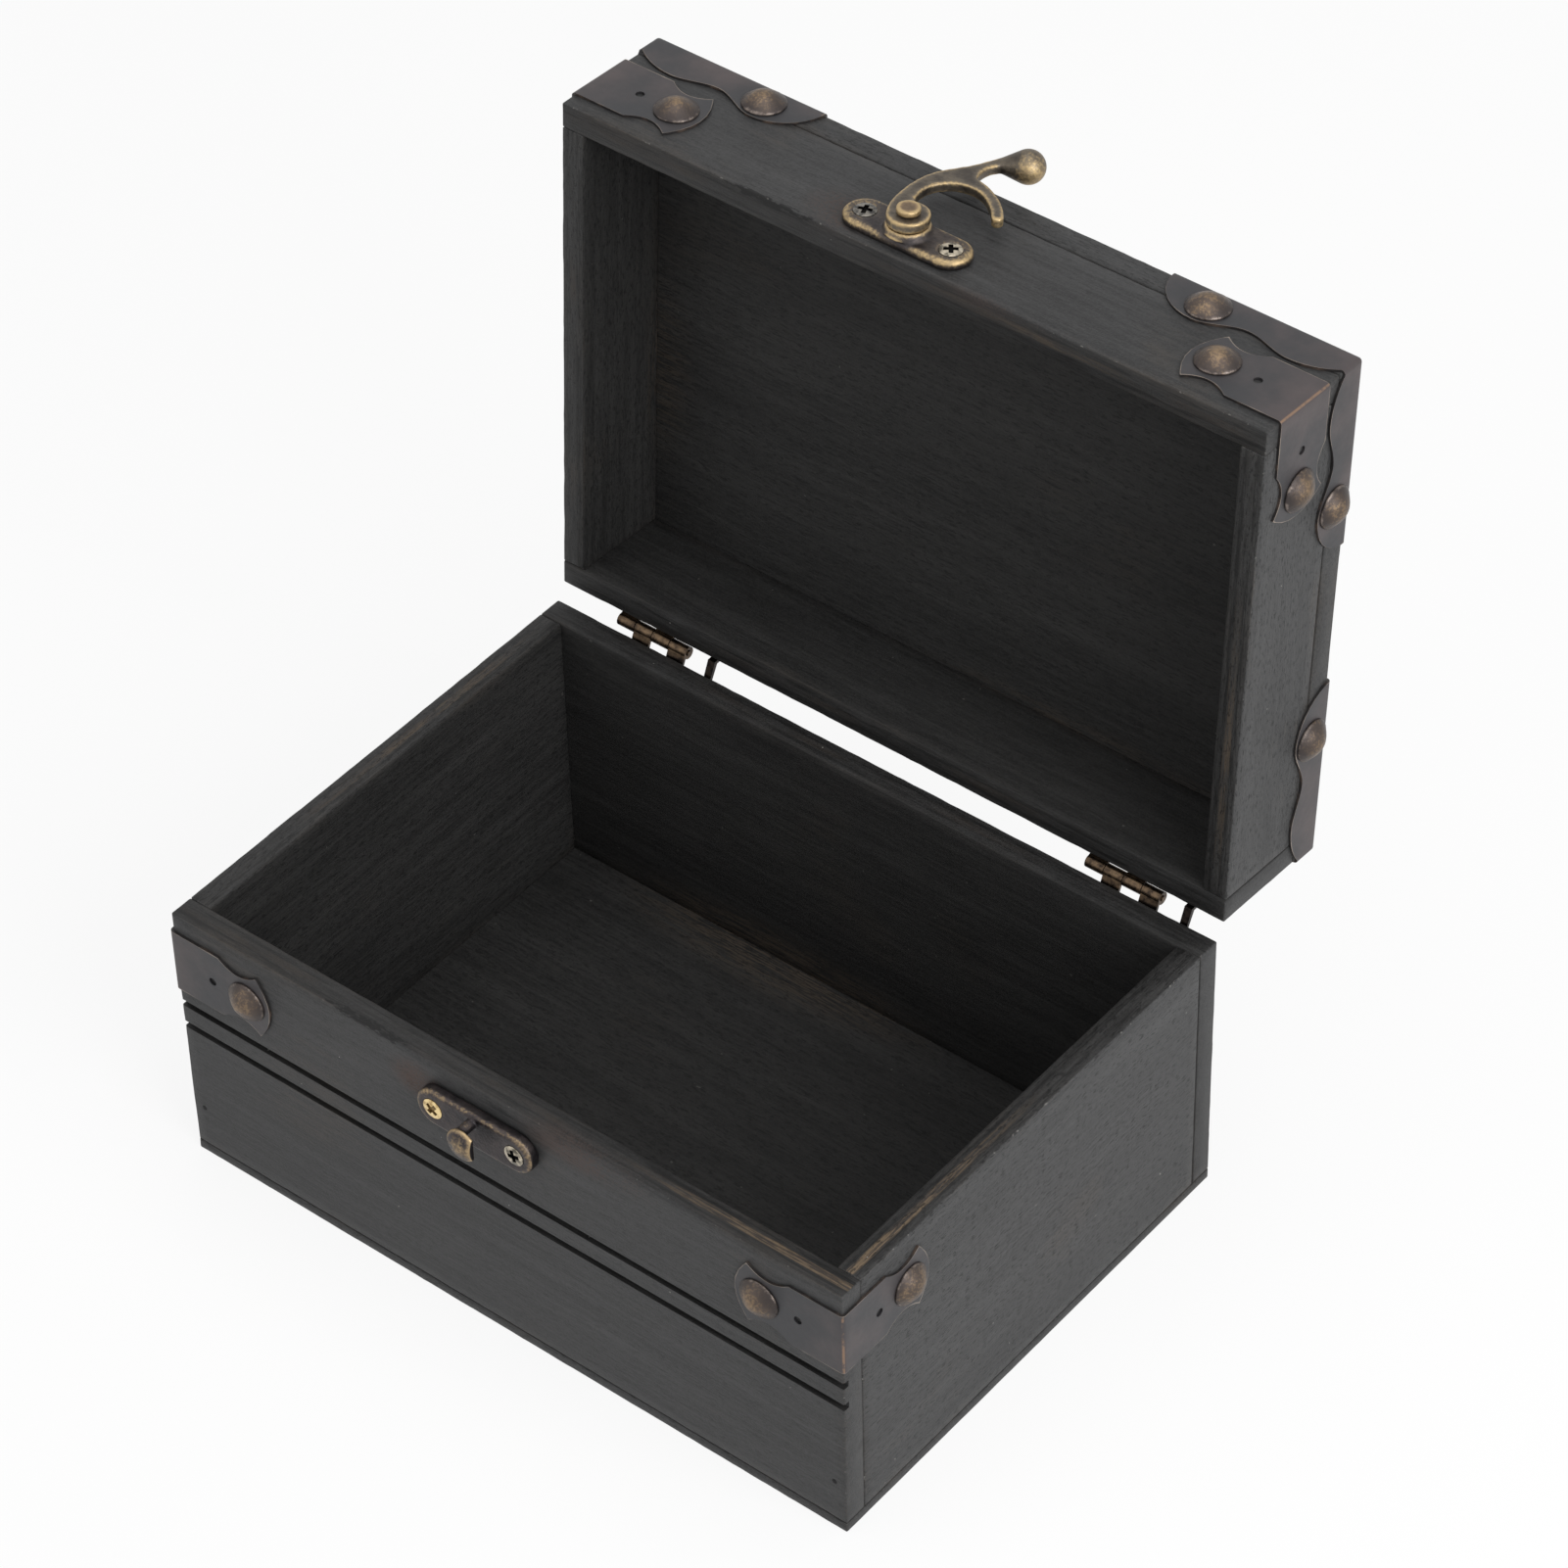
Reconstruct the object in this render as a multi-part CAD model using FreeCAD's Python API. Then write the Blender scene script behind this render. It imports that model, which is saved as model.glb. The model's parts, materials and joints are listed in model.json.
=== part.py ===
import FreeCAD, Part
import math
import os

# A wooden keepsake box in the style of a small travel chest: a butt-jointed base, a hinged lid
# with its top board, corner straps and corner guards of thin sheet, domed studs, a swing-hook
# latch and two hinges with stop arms. Millimetres, +Z up, origin under the middle of the base.
# Every lid piece is made with the lid shut and is then swung open to the resting angle.

V = FreeCAD.Vector
X, Y, Z = V(1, 0, 0), V(0, 1, 0), V(0, 0, 1)

# Box
box_width = 180.0
box_depth = 126.5
base_height = 71.0
lid_height = 31.8
wall = 6.0
bottom_board = 2.8
top_board = 6.8
seam_gap = 0.3
edge_ease = 0.3
open_angle = 93.8

# Cutting shapes run past the faces that they open by this much
overshoot = 1.0

# Grooves across the base's front
groove_width = 1.8
groove_depth = 1.5
groove_drop = 26.3
groove_pitch = 6.4

# Corner straps
sheet = 0.6
strap_straight = 13.3
strap_tail = 23.9
strap_reach = 27.2
strap_waist = 2.2
strap_below_rim = 5.0
strap_above_rim = 4.0
strap_below_guard = 1.4
strap_hole_at = 11.0
strap_hole_radius = 0.9
strap_stud_at = 20.8

# Corner guards on the lid's top
guard_leg = 45.3
guard_corner = 5.5
guard_lobe = 9.6
guard_lobe_at = 11.0
guard_waist = 7.0
guard_waist_at = 22.0
guard_belly = 10.9
guard_belly_at = 33.5
guard_side_stud_at = 33.0
guard_top_stud_at = 35.8
guard_stud_inset = 5.4

# Domed studs and brads
stud_radius = 4.9
stud_height = 2.5
stud_rim = 0.5
stud_nail_radius = 0.75
stud_nail_length = 4.5
brad_radius = 0.6
brad_length = 14.0
brad_low = 14.0
brad_drop = 21.0
lid_brad_rise = 12.4
nail_fit = 0.02

# Latch
latch_x = -4.3
pivot_height = 7.3
plate_length = 31.2
plate_width = 9.8
plate_bevel = 0.6
plate_screw_pitch = 22.0
latch_plate_thickness = 2.2
strike_plate_thickness = 2.8
boss_height = 1.65
boss_foot_radius = 5.4
boss_top_radius = 4.6
eye_radius = 4.6
eye_play = 0.15
rivet_radius = 1.5
rivet_head_radius = 2.6
rivet_head_height = 1.4
rivet_running = 0.05
strike_drop = 10.3
neck_rise = 2.8
neck_radius = 1.3
catch_clearance = 0.35
head_radius = 4.0
head_across = 1.0
head_up = 0.5
head_flat = 2.9
head_rim = 0.8
head_dome = 1.4
hook_under_head = 0.4

# Swing hook: the points of its back and handle are across and up from the throat's middle
hook_thickness = 2.3
throat_radius = 7.4
throat_angle = 61.0
throat_end = 235.0
tip_width = 2.5
tip_angle = 36.0
crotch_angle = 80.5
back_start = 212.0
back_waist = (-10.8, -1.2)
back_shoulder = (-9.4, 7.4)
back_root = (-5.6, 13.4)
handle_outer = (-2.3, 20.2)
handle_inner = (0.4, 18.5)
handle_hollow = (-2.1, 13.1)
handle_ball_radius = 1.75
bulb_radius = 3.75
bulb_place = (3.6, 21.5)
bulb_lift = 0.6

# Latch and strike screws
screw_head_radius = 2.6
screw_head_height = 1.5
screw_shank_radius = 1.1
screw_grip = 5.0

# Hinges
hinge_inset = 25.7
hinge_length = 19.6
knuckle_count = 4
knuckle_gap = 0.2
barrel_radius = 1.5
barrel_back = 2.7
barrel_rise = 1.05
pin_radius = 0.7
pin_running = 0.05
pin_overhang = 0.2
leaf_thickness = 0.8
leaf_height = 9.0
leaf_gap = 2.6
hinge_screw_pitch = 11.0
hinge_screw_head_radius = 1.6
hinge_screw_head_height = 0.7
hinge_screw_shank_radius = 0.7
hinge_screw_length = 4.5
stop_side = 6.0
stop_width = 1.9
stop_knee_back = 2.0
stop_knee_rise = 2.2
stop_reach = 4.0
stop_ear_height = 5.0
stop_clearance = 0.3

# Places worked out from the sizes above
half_width = box_width / 2
half_depth = box_depth / 2
lid_rim = base_height + seam_gap
lid_top = lid_rim + lid_height
lid_seam = lid_top - top_board
strap_height = lid_height - strap_above_rim - guard_lobe - strap_below_guard
hinge_offset = half_width - hinge_inset
axis_y = half_depth + barrel_back
axis_z = base_height + barrel_rise
pivot_z = lid_rim + pivot_height
strike_z = base_height - strike_drop
hook_low = latch_plate_thickness + boss_height + eye_play
hook_top = hook_low + hook_thickness
head_low = hook_top + hook_under_head
catch_radius = pivot_z - strike_z - neck_rise + neck_radius + catch_clearance

nodes = {}
holes = {}


def board(x_low, x_high, y_low, y_high, z_low, z_high):
    block = Part.makeBox(x_high - x_low, y_high - y_low, z_high - z_low, V(x_low, y_low, z_low))
    return block.makeChamfer(edge_ease, block.Edges)


def polygon(points):
    return [Part.LineSegment(a, b).toShape() for a, b in zip(points, points[1:])]


def arc(start, middle, end):
    return Part.Arc(start, middle, end).toShape()


def sheet_from(edges, push):
    return Part.Face(Part.Wire(edges)).extrude(push)


def fused(pieces):
    return pieces[0].multiFuse(pieces[1:]).removeSplitter()


def turned(edges):
    return Part.Face(Part.Wire(edges)).revolve(V(0, 0, 0), Z, 360)


def bevelled(shape, bevel):
    """The shape with the edges of its upper face cut back."""
    middle = shape.BoundBox.Center.z
    return shape.makeChamfer(bevel, [edge for edge in shape.Edges if edge.BoundBox.ZMin > middle])


def seated(shape, point, outward):
    piece = shape.copy()
    piece.Placement = FreeCAD.Placement(point, FreeCAD.Rotation(Z, outward))
    return piece


def fasten(group, fastener, cutter, point, outward, through):
    """Seat one fastener at a point, and drill each node that it passes through."""
    nodes.setdefault(group, []).append(seated(fastener, point, outward))
    for name in through:
        holes.setdefault(name, []).append(seated(cutter, point, outward))


# Fasteners, each with its outward side along +Z and its seat at the origin

def dome_arc(radius, rim, height):
    """The arc from a dome's rim up to its crown."""
    sphere_radius = (radius ** 2 + height ** 2) / (2 * height)
    middle_angle = math.asin(radius / sphere_radius) / 2
    centre = rim + height - sphere_radius
    middle = V(sphere_radius * math.sin(middle_angle), 0, centre + sphere_radius * math.cos(middle_angle))
    return arc(V(radius, 0, rim), middle, V(0, 0, rim + height))


def dome_stud():
    edges = polygon([
        V(0, 0, stud_rim + stud_height), V(0, 0, -stud_nail_length), V(stud_nail_radius, 0, -stud_nail_length),
        V(stud_nail_radius, 0, 0), V(stud_radius, 0, 0), V(stud_radius, 0, stud_rim)])
    return turned(edges + [dome_arc(stud_radius, stud_rim, stud_height)])


def rod(radius, low, high):
    return Part.makeCylinder(radius, high - low, V(0, 0, low))


def countersunk_screw(head, head_height, shank, length, play=0.0):
    return turned(polygon([
        V(0, 0, 0), V(0, 0, -length - play), V(shank + play, 0, -length - play),
        V(shank + play, 0, -head_height), V(head + play, 0, 0), V(0, 0, 0)]))


# Base and lid boards

def base_boards():
    inner = half_depth - wall
    front = board(-half_width, half_width, -half_depth, -inner, bottom_board, base_height)
    for drop in (groove_drop, groove_drop + groove_pitch):
        low = base_height - drop - groove_width / 2
        start = V(-half_width, -half_depth, low)
        front = front.cut(Part.makeBox(box_width, groove_depth, groove_width, start))
    nodes["base_front_panel"] = front
    nodes["base_back_panel"] = board(-half_width, half_width, inner, half_depth, bottom_board, base_height)
    nodes["base_left_panel"] = board(-half_width, wall - half_width, -inner, inner, bottom_board, base_height)
    nodes["base_right_panel"] = board(half_width - wall, half_width, -inner, inner, bottom_board, base_height)
    nodes["base_bottom_board"] = board(-half_width, half_width, -half_depth, half_depth, 0, bottom_board)


def lid_boards():
    inner = half_depth - wall
    nodes["lid_front_panel"] = board(-half_width, half_width, -half_depth, -inner, lid_rim, lid_seam)
    nodes["lid_back_panel"] = board(-half_width, half_width, inner, half_depth, lid_rim, lid_seam)
    nodes["lid_left_panel"] = board(-half_width, wall - half_width, -inner, inner, lid_rim, lid_seam)
    nodes["lid_right_panel"] = board(half_width - wall, half_width, -inner, inner, lid_rim, lid_seam)
    nodes["lid_top_board"] = board(-half_width, half_width, -half_depth, half_depth, lid_seam, lid_top)


def brads():
    brad = rod(brad_radius, -brad_length, -nail_fit)
    hole = rod(brad_radius + nail_fit, -brad_length - nail_fit, overshoot)
    base_heights = (brad_low, base_height - brad_drop)
    lid_heights = (lid_rim + lid_brad_rise,)
    for part, heights in (("base", base_heights), ("lid", lid_heights)):
        for side, name in ((-1, "left"), (1, "right")):
            for face, end in ((-1, "front"), (1, "back")):
                for height in heights:
                    point = V(side * (half_width - wall / 2), face * half_depth, height)
                    through = (f"{part}_{end}_panel", f"{part}_{name}_panel")
                    fasten(f"{part}_brads", brad, hole, point, Y * face, through)


# Corner straps

def strap_leg(at, outward):
    """One leg: straight from the corner, waisted, and ending in a fishtail with a rounded end."""
    waist_middle = (strap_straight + strap_tail) / 2
    top = strap_height
    edges = polygon([at(strap_straight, top), at(-sheet, top), at(-sheet, 0), at(strap_straight, 0)])
    edges.append(arc(at(strap_straight, 0), at(waist_middle, strap_waist), at(strap_tail, 0)))
    edges.append(arc(at(strap_tail, 0), at(strap_reach, top / 2), at(strap_tail, top)))
    edges.append(arc(at(strap_tail, top), at(waist_middle, top - strap_waist), at(strap_straight, top)))
    leg = sheet_from(edges, outward * sheet)
    hole = seated(rod(strap_hole_radius, -overshoot, sheet + overshoot), at(strap_hole_at, top / 2), outward)
    return leg.cut(hole)


def strap_places(side, name, low):
    """The strap's two faces: a map from along and up to a point, the outward side and the panel."""
    def on_front(along, up):
        return V(side * (half_width - along), -half_depth, low + up)

    def on_side(along, up):
        return V(side * half_width, along - half_depth, low + up)

    return (on_front, -Y, "front"), (on_side, X * side, name)


def straps():
    stud = dome_stud()
    hole = rod(stud_nail_radius + nail_fit, -stud_nail_length - nail_fit, sheet)
    lows = {"base": base_height - strap_below_rim - strap_height, "lid": lid_rim + strap_above_rim}
    for part, low in lows.items():
        for side, name in ((-1, "left"), (1, "right")):
            strap = f"{part}_strap_{name}"
            places = strap_places(side, name, low)
            nodes[strap] = fused([strap_leg(at, outward) for at, outward, _ in places])
            for at, outward, panel in places:
                point = at(strap_stud_at, strap_height / 2) + outward * sheet
                fasten(f"{part}_strap_studs", stud, hole, point, outward, (strap, f"{part}_{panel}_panel"))


# Corner guards

def crest_arc(crest, end):
    """The middle of an arc that leaves the crest level and runs to the end point."""
    run, fall = end[0] - crest[0], end[1] - crest[1]
    radius = (run ** 2 + fall ** 2) / (2 * fall)
    half = math.atan(fall / run)
    return crest[0] + radius * math.sin(half), crest[1] + radius * (1 - math.cos(half))


def guard_flange(at, outward):
    """A flange whose edge waves from the corner over a lobe, a waist and a belly to its tip."""
    corner = (0, guard_corner)
    lobe = (guard_lobe_at, guard_lobe)
    waist = (guard_waist_at, guard_waist)
    belly = (guard_belly_at, guard_belly)
    tip = (guard_leg, 0)
    edges = polygon([at(0, guard_corner), at(-sheet, guard_corner), at(-sheet, -sheet),
                     at(guard_leg, -sheet), at(*tip)])
    edges.append(arc(at(*tip), at(*crest_arc(belly, tip)), at(*belly)))
    for crest, hollow in ((belly, waist), (waist, lobe)):
        middle = ((crest[0] + hollow[0]) / 2, (crest[1] + hollow[1]) / 2)
        edges.append(arc(at(*crest), at(*crest_arc(crest, middle)), at(*middle)))
        edges.append(arc(at(*middle), at(*crest_arc(hollow, middle)), at(*hollow)))
    edges.append(arc(at(*lobe), at(*crest_arc(lobe, corner)), at(*corner)))
    return sheet_from(edges, outward * sheet)


def guard_places(side, face):
    """The guard's four flanges: a map from along and in to a point, the outward side and the stud's place."""
    def along_x(distance):
        return side * (half_width - distance)

    def along_y(distance):
        return face * (half_depth - distance)

    def on_long_side(along, down):
        return V(along_x(along), along_y(0), lid_top - down)

    def on_short_side(along, down):
        return V(along_x(0), along_y(along), lid_top - down)

    def on_top_long(along, inward):
        return V(along_x(along), along_y(inward), lid_top)

    def on_top_short(along, inward):
        return V(along_x(inward), along_y(along), lid_top)

    return ((on_long_side, Y * face, guard_side_stud_at), (on_short_side, X * side, guard_side_stud_at),
            (on_top_long, Z, guard_top_stud_at), (on_top_short, Z, guard_top_stud_at))


def guards():
    stud = dome_stud()
    hole = rod(stud_nail_radius + nail_fit, -stud_nail_length - nail_fit, sheet)
    for face, end in ((-1, "front"), (1, "back")):
        for side, name in ((-1, "left"), (1, "right")):
            guard = f"lid_guard_{end}_{name}"
            places = guard_places(side, face)
            nodes[guard] = fused([guard_flange(at, outward) for at, outward, _ in places])
            for at, outward, stud_at in places:
                point = at(stud_at, guard_stud_inset) + outward * sheet
                fasten("lid_guard_studs", stud, hole, point, outward, (guard, "lid_top_board"))


# Latch, built flat with its outward side along +Z and set on the front faces

def on_front_face(shape, z):
    piece = shape.copy()
    piece.Placement = FreeCAD.Placement(V(latch_x, -half_depth, z), FreeCAD.Rotation(X, 90))
    return piece


def front_point(x, y, height, z):
    return V(latch_x + x, -half_depth - height, z + y)


def oblong_plate(thickness):
    radius = plate_width / 2
    run = plate_length / 2 - radius
    edges = polygon([V(-run, -radius, 0), V(run, -radius, 0)])
    edges.append(arc(V(run, -radius, 0), V(run + radius, 0, 0), V(run, radius, 0)))
    edges += polygon([V(run, radius, 0), V(-run, radius, 0)])
    edges.append(arc(V(-run, radius, 0), V(-run - radius, 0, 0), V(-run, -radius, 0)))
    return bevelled(sheet_from(edges, Z * thickness), plate_bevel)


def plate_screws(group, plate, panel, thickness, z):
    length = thickness + screw_grip
    sizes = (screw_head_radius, screw_head_height, screw_shank_radius, length)
    for side in (-1, 1):
        point = front_point(side * plate_screw_pitch / 2, 0, thickness, z)
        fasten(group, countersunk_screw(*sizes), countersunk_screw(*sizes, play=nail_fit), point, -Y,
               (plate, panel))


def latch_plate():
    top = latch_plate_thickness + boss_height
    boss = Part.makeCone(boss_foot_radius, boss_top_radius, boss_height, V(0, 0, latch_plate_thickness))
    plate = fused([oblong_plate(latch_plate_thickness), boss])
    plate = plate.cut(rod(rivet_radius + nail_fit, -overshoot, top + overshoot))
    nodes["latch_plate"] = on_front_face(plate, pivot_z)
    head_start = hook_top + eye_play
    rivet = fused([rod(rivet_radius, 0, head_start),
                   rod(rivet_head_radius, head_start, head_start + rivet_head_height)])
    nodes["latch_rivet"] = on_front_face(rivet, pivot_z)
    plate_screws("latch_screws", "latch_plate", "lid_front_panel", latch_plate_thickness, pivot_z)


def strike_head():
    """A domed head cut flat on its right side."""
    edges = polygon([
        V(0, 0, head_rim + head_dome), V(0, 0, 0), V(head_radius, 0, 0), V(head_radius, 0, head_rim)])
    dome = turned(edges + [dome_arc(head_radius, head_rim, head_dome)])
    spare = Part.makeBox(head_radius, 2 * head_radius, head_rim + head_dome, V(head_flat, -head_radius, 0))
    head = dome.cut(spare)
    head.translate(V(head_across, head_up, head_low))
    return head


def strike():
    neck = rod(neck_radius, 0, head_low + head_rim)
    neck.translate(V(0, neck_rise, 0))
    plate = fused([oblong_plate(strike_plate_thickness), neck, strike_head()])
    nodes["strike_plate"] = on_front_face(plate, strike_z)
    plate_screws("strike_screws", "strike_plate", "base_front_panel", strike_plate_thickness, strike_z)


def polar(centre, radius, degrees):
    angle = math.radians(degrees)
    return centre + V(radius * math.cos(angle), radius * math.sin(angle), 0)


def swept(centre, radius, start, end):
    """An arc about a centre, from one angle to another."""
    return arc(*[polar(centre, radius, angle) for angle in (start, (start + end) / 2, end)])


def hook_back(start, throat):
    """The smooth outer edge, which leaves the eye along its rim and runs up the handle."""
    points = [start] + [throat + V(*place, 0) for place in (back_waist, back_shoulder, back_root, handle_outer)]
    curve = Part.BSplineCurve()
    curve.interpolate(Points=points, InitialTangent=V(start.y, -start.x, 0), FinalTangent=points[-1] - points[-2])
    return curve.toShape()


def hook_outline(throat):
    """The flat outline: back, handle, tip about the pivot, and throat."""
    pivot = V(0, 0, 0)
    tip_outer = catch_radius + tip_width
    tip_middle = catch_radius + tip_width / 2
    end_angle = tip_angle - math.degrees(tip_width / 2 / tip_middle)
    handle_end = throat + V(*handle_inner, 0)
    crotch = polar(pivot, tip_outer, crotch_angle)
    eye_side = polar(pivot, eye_radius, back_start)
    edges = [hook_back(eye_side, throat)]
    edges += polygon([throat + V(*handle_outer, 0), handle_end])
    edges.append(arc(handle_end, throat + V(*handle_hollow, 0), crotch))
    edges.append(swept(pivot, tip_outer, crotch_angle, tip_angle))
    edges.append(arc(polar(pivot, tip_outer, tip_angle), polar(pivot, tip_middle, end_angle),
                     polar(pivot, catch_radius, tip_angle)))
    edges.append(swept(pivot, catch_radius, tip_angle, throat_angle))
    edges.append(swept(throat, throat_radius, throat_angle, throat_end))
    return edges + polygon([polar(throat, throat_radius, throat_end), eye_side])


def teardrop(start, start_radius, end, end_radius):
    """A round solid that widens from a small ball to a large one."""
    length = (end - start).Length
    lean = math.asin((end_radius - start_radius) / length)

    def on_ball(height, radius, angle):
        return V(radius * math.cos(angle), 0, height + radius * math.sin(angle))

    small = [on_ball(0, start_radius, angle) for angle in ((-math.pi / 2 - lean) / 2, -lean)]
    large = [on_ball(length, end_radius, angle) for angle in (-lean, (math.pi / 2 - lean) / 2)]
    low, high = V(0, 0, -start_radius), V(0, 0, length + end_radius)
    edges = polygon([high, low]) + [arc(low, *small)]
    edges += polygon([small[1], large[0]]) + [arc(*large, high)]
    return seated(turned(edges), start, end - start)


def latch_hook():
    """Eye, round throat, tip concentric with the pivot, and a handle that swells into a bulb."""
    throat = polar(V(0, 0, 0), catch_radius - throat_radius, throat_angle)
    blank = fused([sheet_from(hook_outline(throat), Z * hook_thickness),
                   Part.makeCylinder(eye_radius, hook_thickness)])
    blank.translate(Z * hook_low)
    middle = throat + Z * (hook_low + hook_top) / 2
    neck = middle + (V(*handle_outer, 0) + V(*handle_inner, 0)) / 2
    bulb = middle + V(*bulb_place, bulb_lift)
    hook = fused([blank, teardrop(neck, handle_ball_radius, bulb, bulb_radius)])
    hook = hook.cut(rod(rivet_radius + rivet_running, 0, hook_top + overshoot))
    nodes["latch_hook"] = on_front_face(hook, pivot_z)


# Hinges

def hinge_leaf(start, low):
    return Part.makeBox(hinge_length, leaf_thickness, leaf_height, V(start, half_depth, low))


def knuckle(start, length, bore, foot_y, foot_z):
    """A barrel length with the strip that joins it to its leaf, in place beside the lid axis."""
    barrel = Part.makeCylinder(barrel_radius, length, V(start, axis_y, axis_z), X)
    tangent = axis_y - barrel_radius
    strip = sheet_from(polygon([
        V(start, foot_y, foot_z), V(start, foot_y + leaf_thickness, foot_z),
        V(start, tangent + leaf_thickness, axis_z), V(start, tangent, axis_z), V(start, foot_y, foot_z)]),
        X * length)
    hole = Part.makeCylinder(bore, length + 2 * overshoot, V(start - overshoot, axis_y, axis_z), X)
    return fused([barrel, strip]).cut(hole)


def stop_arm(start):
    """The arm that the open lid lands on: an ear beside the leaf, a leaning shank and a foot."""
    ear_high = base_height - leaf_gap + barrel_rise
    ear_low = ear_high - stop_ear_height
    face = half_depth + leaf_thickness
    lid_face = axis_z + barrel_back * math.sin(math.radians(open_angle))
    foot_high = lid_face - stop_clearance - stop_reach * math.cos(math.radians(180 - open_angle))
    knee = (half_depth + stop_knee_back, base_height + stop_knee_rise)
    points = [
        (half_depth, ear_low), (face, ear_low), (face, ear_high),
        (knee[0] + leaf_thickness, knee[1]), (axis_y + stop_reach, foot_high - leaf_thickness),
        (axis_y + stop_reach, foot_high), (knee[0], knee[1] + leaf_thickness), (half_depth, ear_high),
        (half_depth, ear_low)]
    arm = sheet_from(polygon([V(start, y, z) for y, z in points]), X * stop_width)
    bridge = Part.makeBox(stop_side + stop_width, leaf_thickness, stop_ear_height,
                          V(start - stop_side, half_depth, ear_low))
    return fused([bridge, arm])


def hinge_screws(group, leaf, panel, centre, z):
    sizes = (hinge_screw_head_radius, hinge_screw_head_height, hinge_screw_shank_radius, hinge_screw_length)
    for side in (-1, 1):
        point = V(centre + side * hinge_screw_pitch / 2, half_depth + leaf_thickness, z)
        fasten(group, countersunk_screw(*sizes), countersunk_screw(*sizes, play=nail_fit), point, Y,
               (leaf, panel))


def hinges():
    share = hinge_length / knuckle_count
    base_foot = axis_z - leaf_gap
    lid_foot = axis_z + leaf_gap
    for side, name in ((-1, "left"), (1, "right")):
        start = side * hinge_offset - hinge_length / 2
        leaves = {"lid": [hinge_leaf(start, lid_foot)], "base": [hinge_leaf(start, base_foot - leaf_height)]}
        for index in range(knuckle_count):
            body = "lid" if index % 2 == 0 else "base"
            bore = pin_radius + (pin_running if body == "lid" else nail_fit)
            foot = lid_foot if body == "lid" else base_foot
            place = start + index * share + knuckle_gap / 2
            leaves[body].append(knuckle(place, share - knuckle_gap, bore, half_depth, foot))
        leaves["base"].append(stop_arm(start + hinge_length + stop_side))
        for body, pieces in leaves.items():
            nodes[f"hinge_{name}_{body}_leaf"] = fused(pieces)
        pin = Part.makeCylinder(pin_radius, hinge_length + 2 * pin_overhang,
                                V(start - pin_overhang, axis_y, axis_z), X)
        nodes[f"hinge_{name}_pin"] = pin
        centre = side * hinge_offset
        screw_inset = leaf_height / 2
        hinge_screws("hinge_lid_screws", f"hinge_{name}_lid_leaf", "lid_back_panel", centre,
                     lid_foot + screw_inset)
        hinge_screws("hinge_base_screws", f"hinge_{name}_base_leaf", "base_back_panel", centre,
                     base_foot - screw_inset)


def swings_with_lid(name):
    return name.startswith(("lid_", "latch_", "hinge_lid_")) or name.endswith("_lid_leaf")


base_boards()
lid_boards()
brads()
straps()
guards()
latch_plate()
strike()
latch_hook()
hinges()

os.makedirs("parts", exist_ok=True)
for node, made in nodes.items():
    shape = Part.Compound(made) if isinstance(made, list) else made
    if node in holes:
        shape = shape.cut(holes[node])
    if swings_with_lid(node):
        shape.rotate(V(0, axis_y, axis_z), X, -open_angle)
    shape.exportStep(f"parts/{node}.step")
    state = "valid" if shape.isValid() else "not valid"
    print(node, len(shape.Solids), "solids", round(shape.Volume, 1), "mm3", state)
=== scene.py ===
# %% [markdown]
# A small black-stained keepsake box stands open on a pale floor. The CAD frame gives every board, strap,
# stud and hinge its place. This lesson dresses that frame: each step builds one kind of piece in mesh code,
# gives it a finish made of shader nodes, and lets it ride on the body that carries it.

# %% Load the fixed frame
import json
import math

import bmesh
import bpy
from mathutils import Matrix, Vector, noise

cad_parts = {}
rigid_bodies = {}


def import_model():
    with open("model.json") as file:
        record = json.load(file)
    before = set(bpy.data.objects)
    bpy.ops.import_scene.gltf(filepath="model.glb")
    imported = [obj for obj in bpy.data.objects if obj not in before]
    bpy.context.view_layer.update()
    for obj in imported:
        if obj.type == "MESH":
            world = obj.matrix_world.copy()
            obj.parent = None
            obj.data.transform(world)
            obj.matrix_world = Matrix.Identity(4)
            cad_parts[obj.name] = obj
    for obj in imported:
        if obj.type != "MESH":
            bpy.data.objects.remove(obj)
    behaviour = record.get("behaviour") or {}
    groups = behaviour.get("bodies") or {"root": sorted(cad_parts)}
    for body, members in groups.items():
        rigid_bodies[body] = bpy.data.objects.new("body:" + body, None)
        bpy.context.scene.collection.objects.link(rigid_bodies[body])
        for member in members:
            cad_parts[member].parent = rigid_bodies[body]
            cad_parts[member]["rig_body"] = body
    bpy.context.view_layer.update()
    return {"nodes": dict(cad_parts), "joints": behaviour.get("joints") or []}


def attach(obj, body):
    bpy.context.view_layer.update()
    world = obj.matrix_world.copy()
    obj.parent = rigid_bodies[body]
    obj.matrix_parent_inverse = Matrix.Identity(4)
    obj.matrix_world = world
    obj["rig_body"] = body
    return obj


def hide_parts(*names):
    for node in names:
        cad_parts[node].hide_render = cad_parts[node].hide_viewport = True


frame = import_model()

nodes = frame["nodes"]
mm = 0.001

# %% [markdown]
# The frame rests with its lid open. Lid pieces are easier to draw on a shut box, where every face is level
# or upright, so they are drawn shut and their objects carry the turn that opens them. That turn comes from
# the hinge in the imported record, so that it can't drift away from the CAD.

# %% The turn that opens the lid
joints = {joint["name"]: joint for joint in frame["joints"]}
lid_joint = joints["lid_hinge"]
hinge_point = Vector(lid_joint["pos_m"])
opening = Matrix.Rotation(-math.radians(lid_joint["range_deg"][1]), 4, Vector(lid_joint["axis"]))
lid_open = Matrix.Translation(hinge_point) @ opening @ Matrix.Translation(-hinge_point)
place_of = {"base": Matrix.Identity(4), "lid": lid_open, "latch_hook": lid_open}


def body_of_node(node):
    return nodes[node]["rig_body"]


def to_shut(node):
    """The turn that takes a node from where it rests to the shut box."""
    return place_of[body_of_node(node)].inverted()


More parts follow.
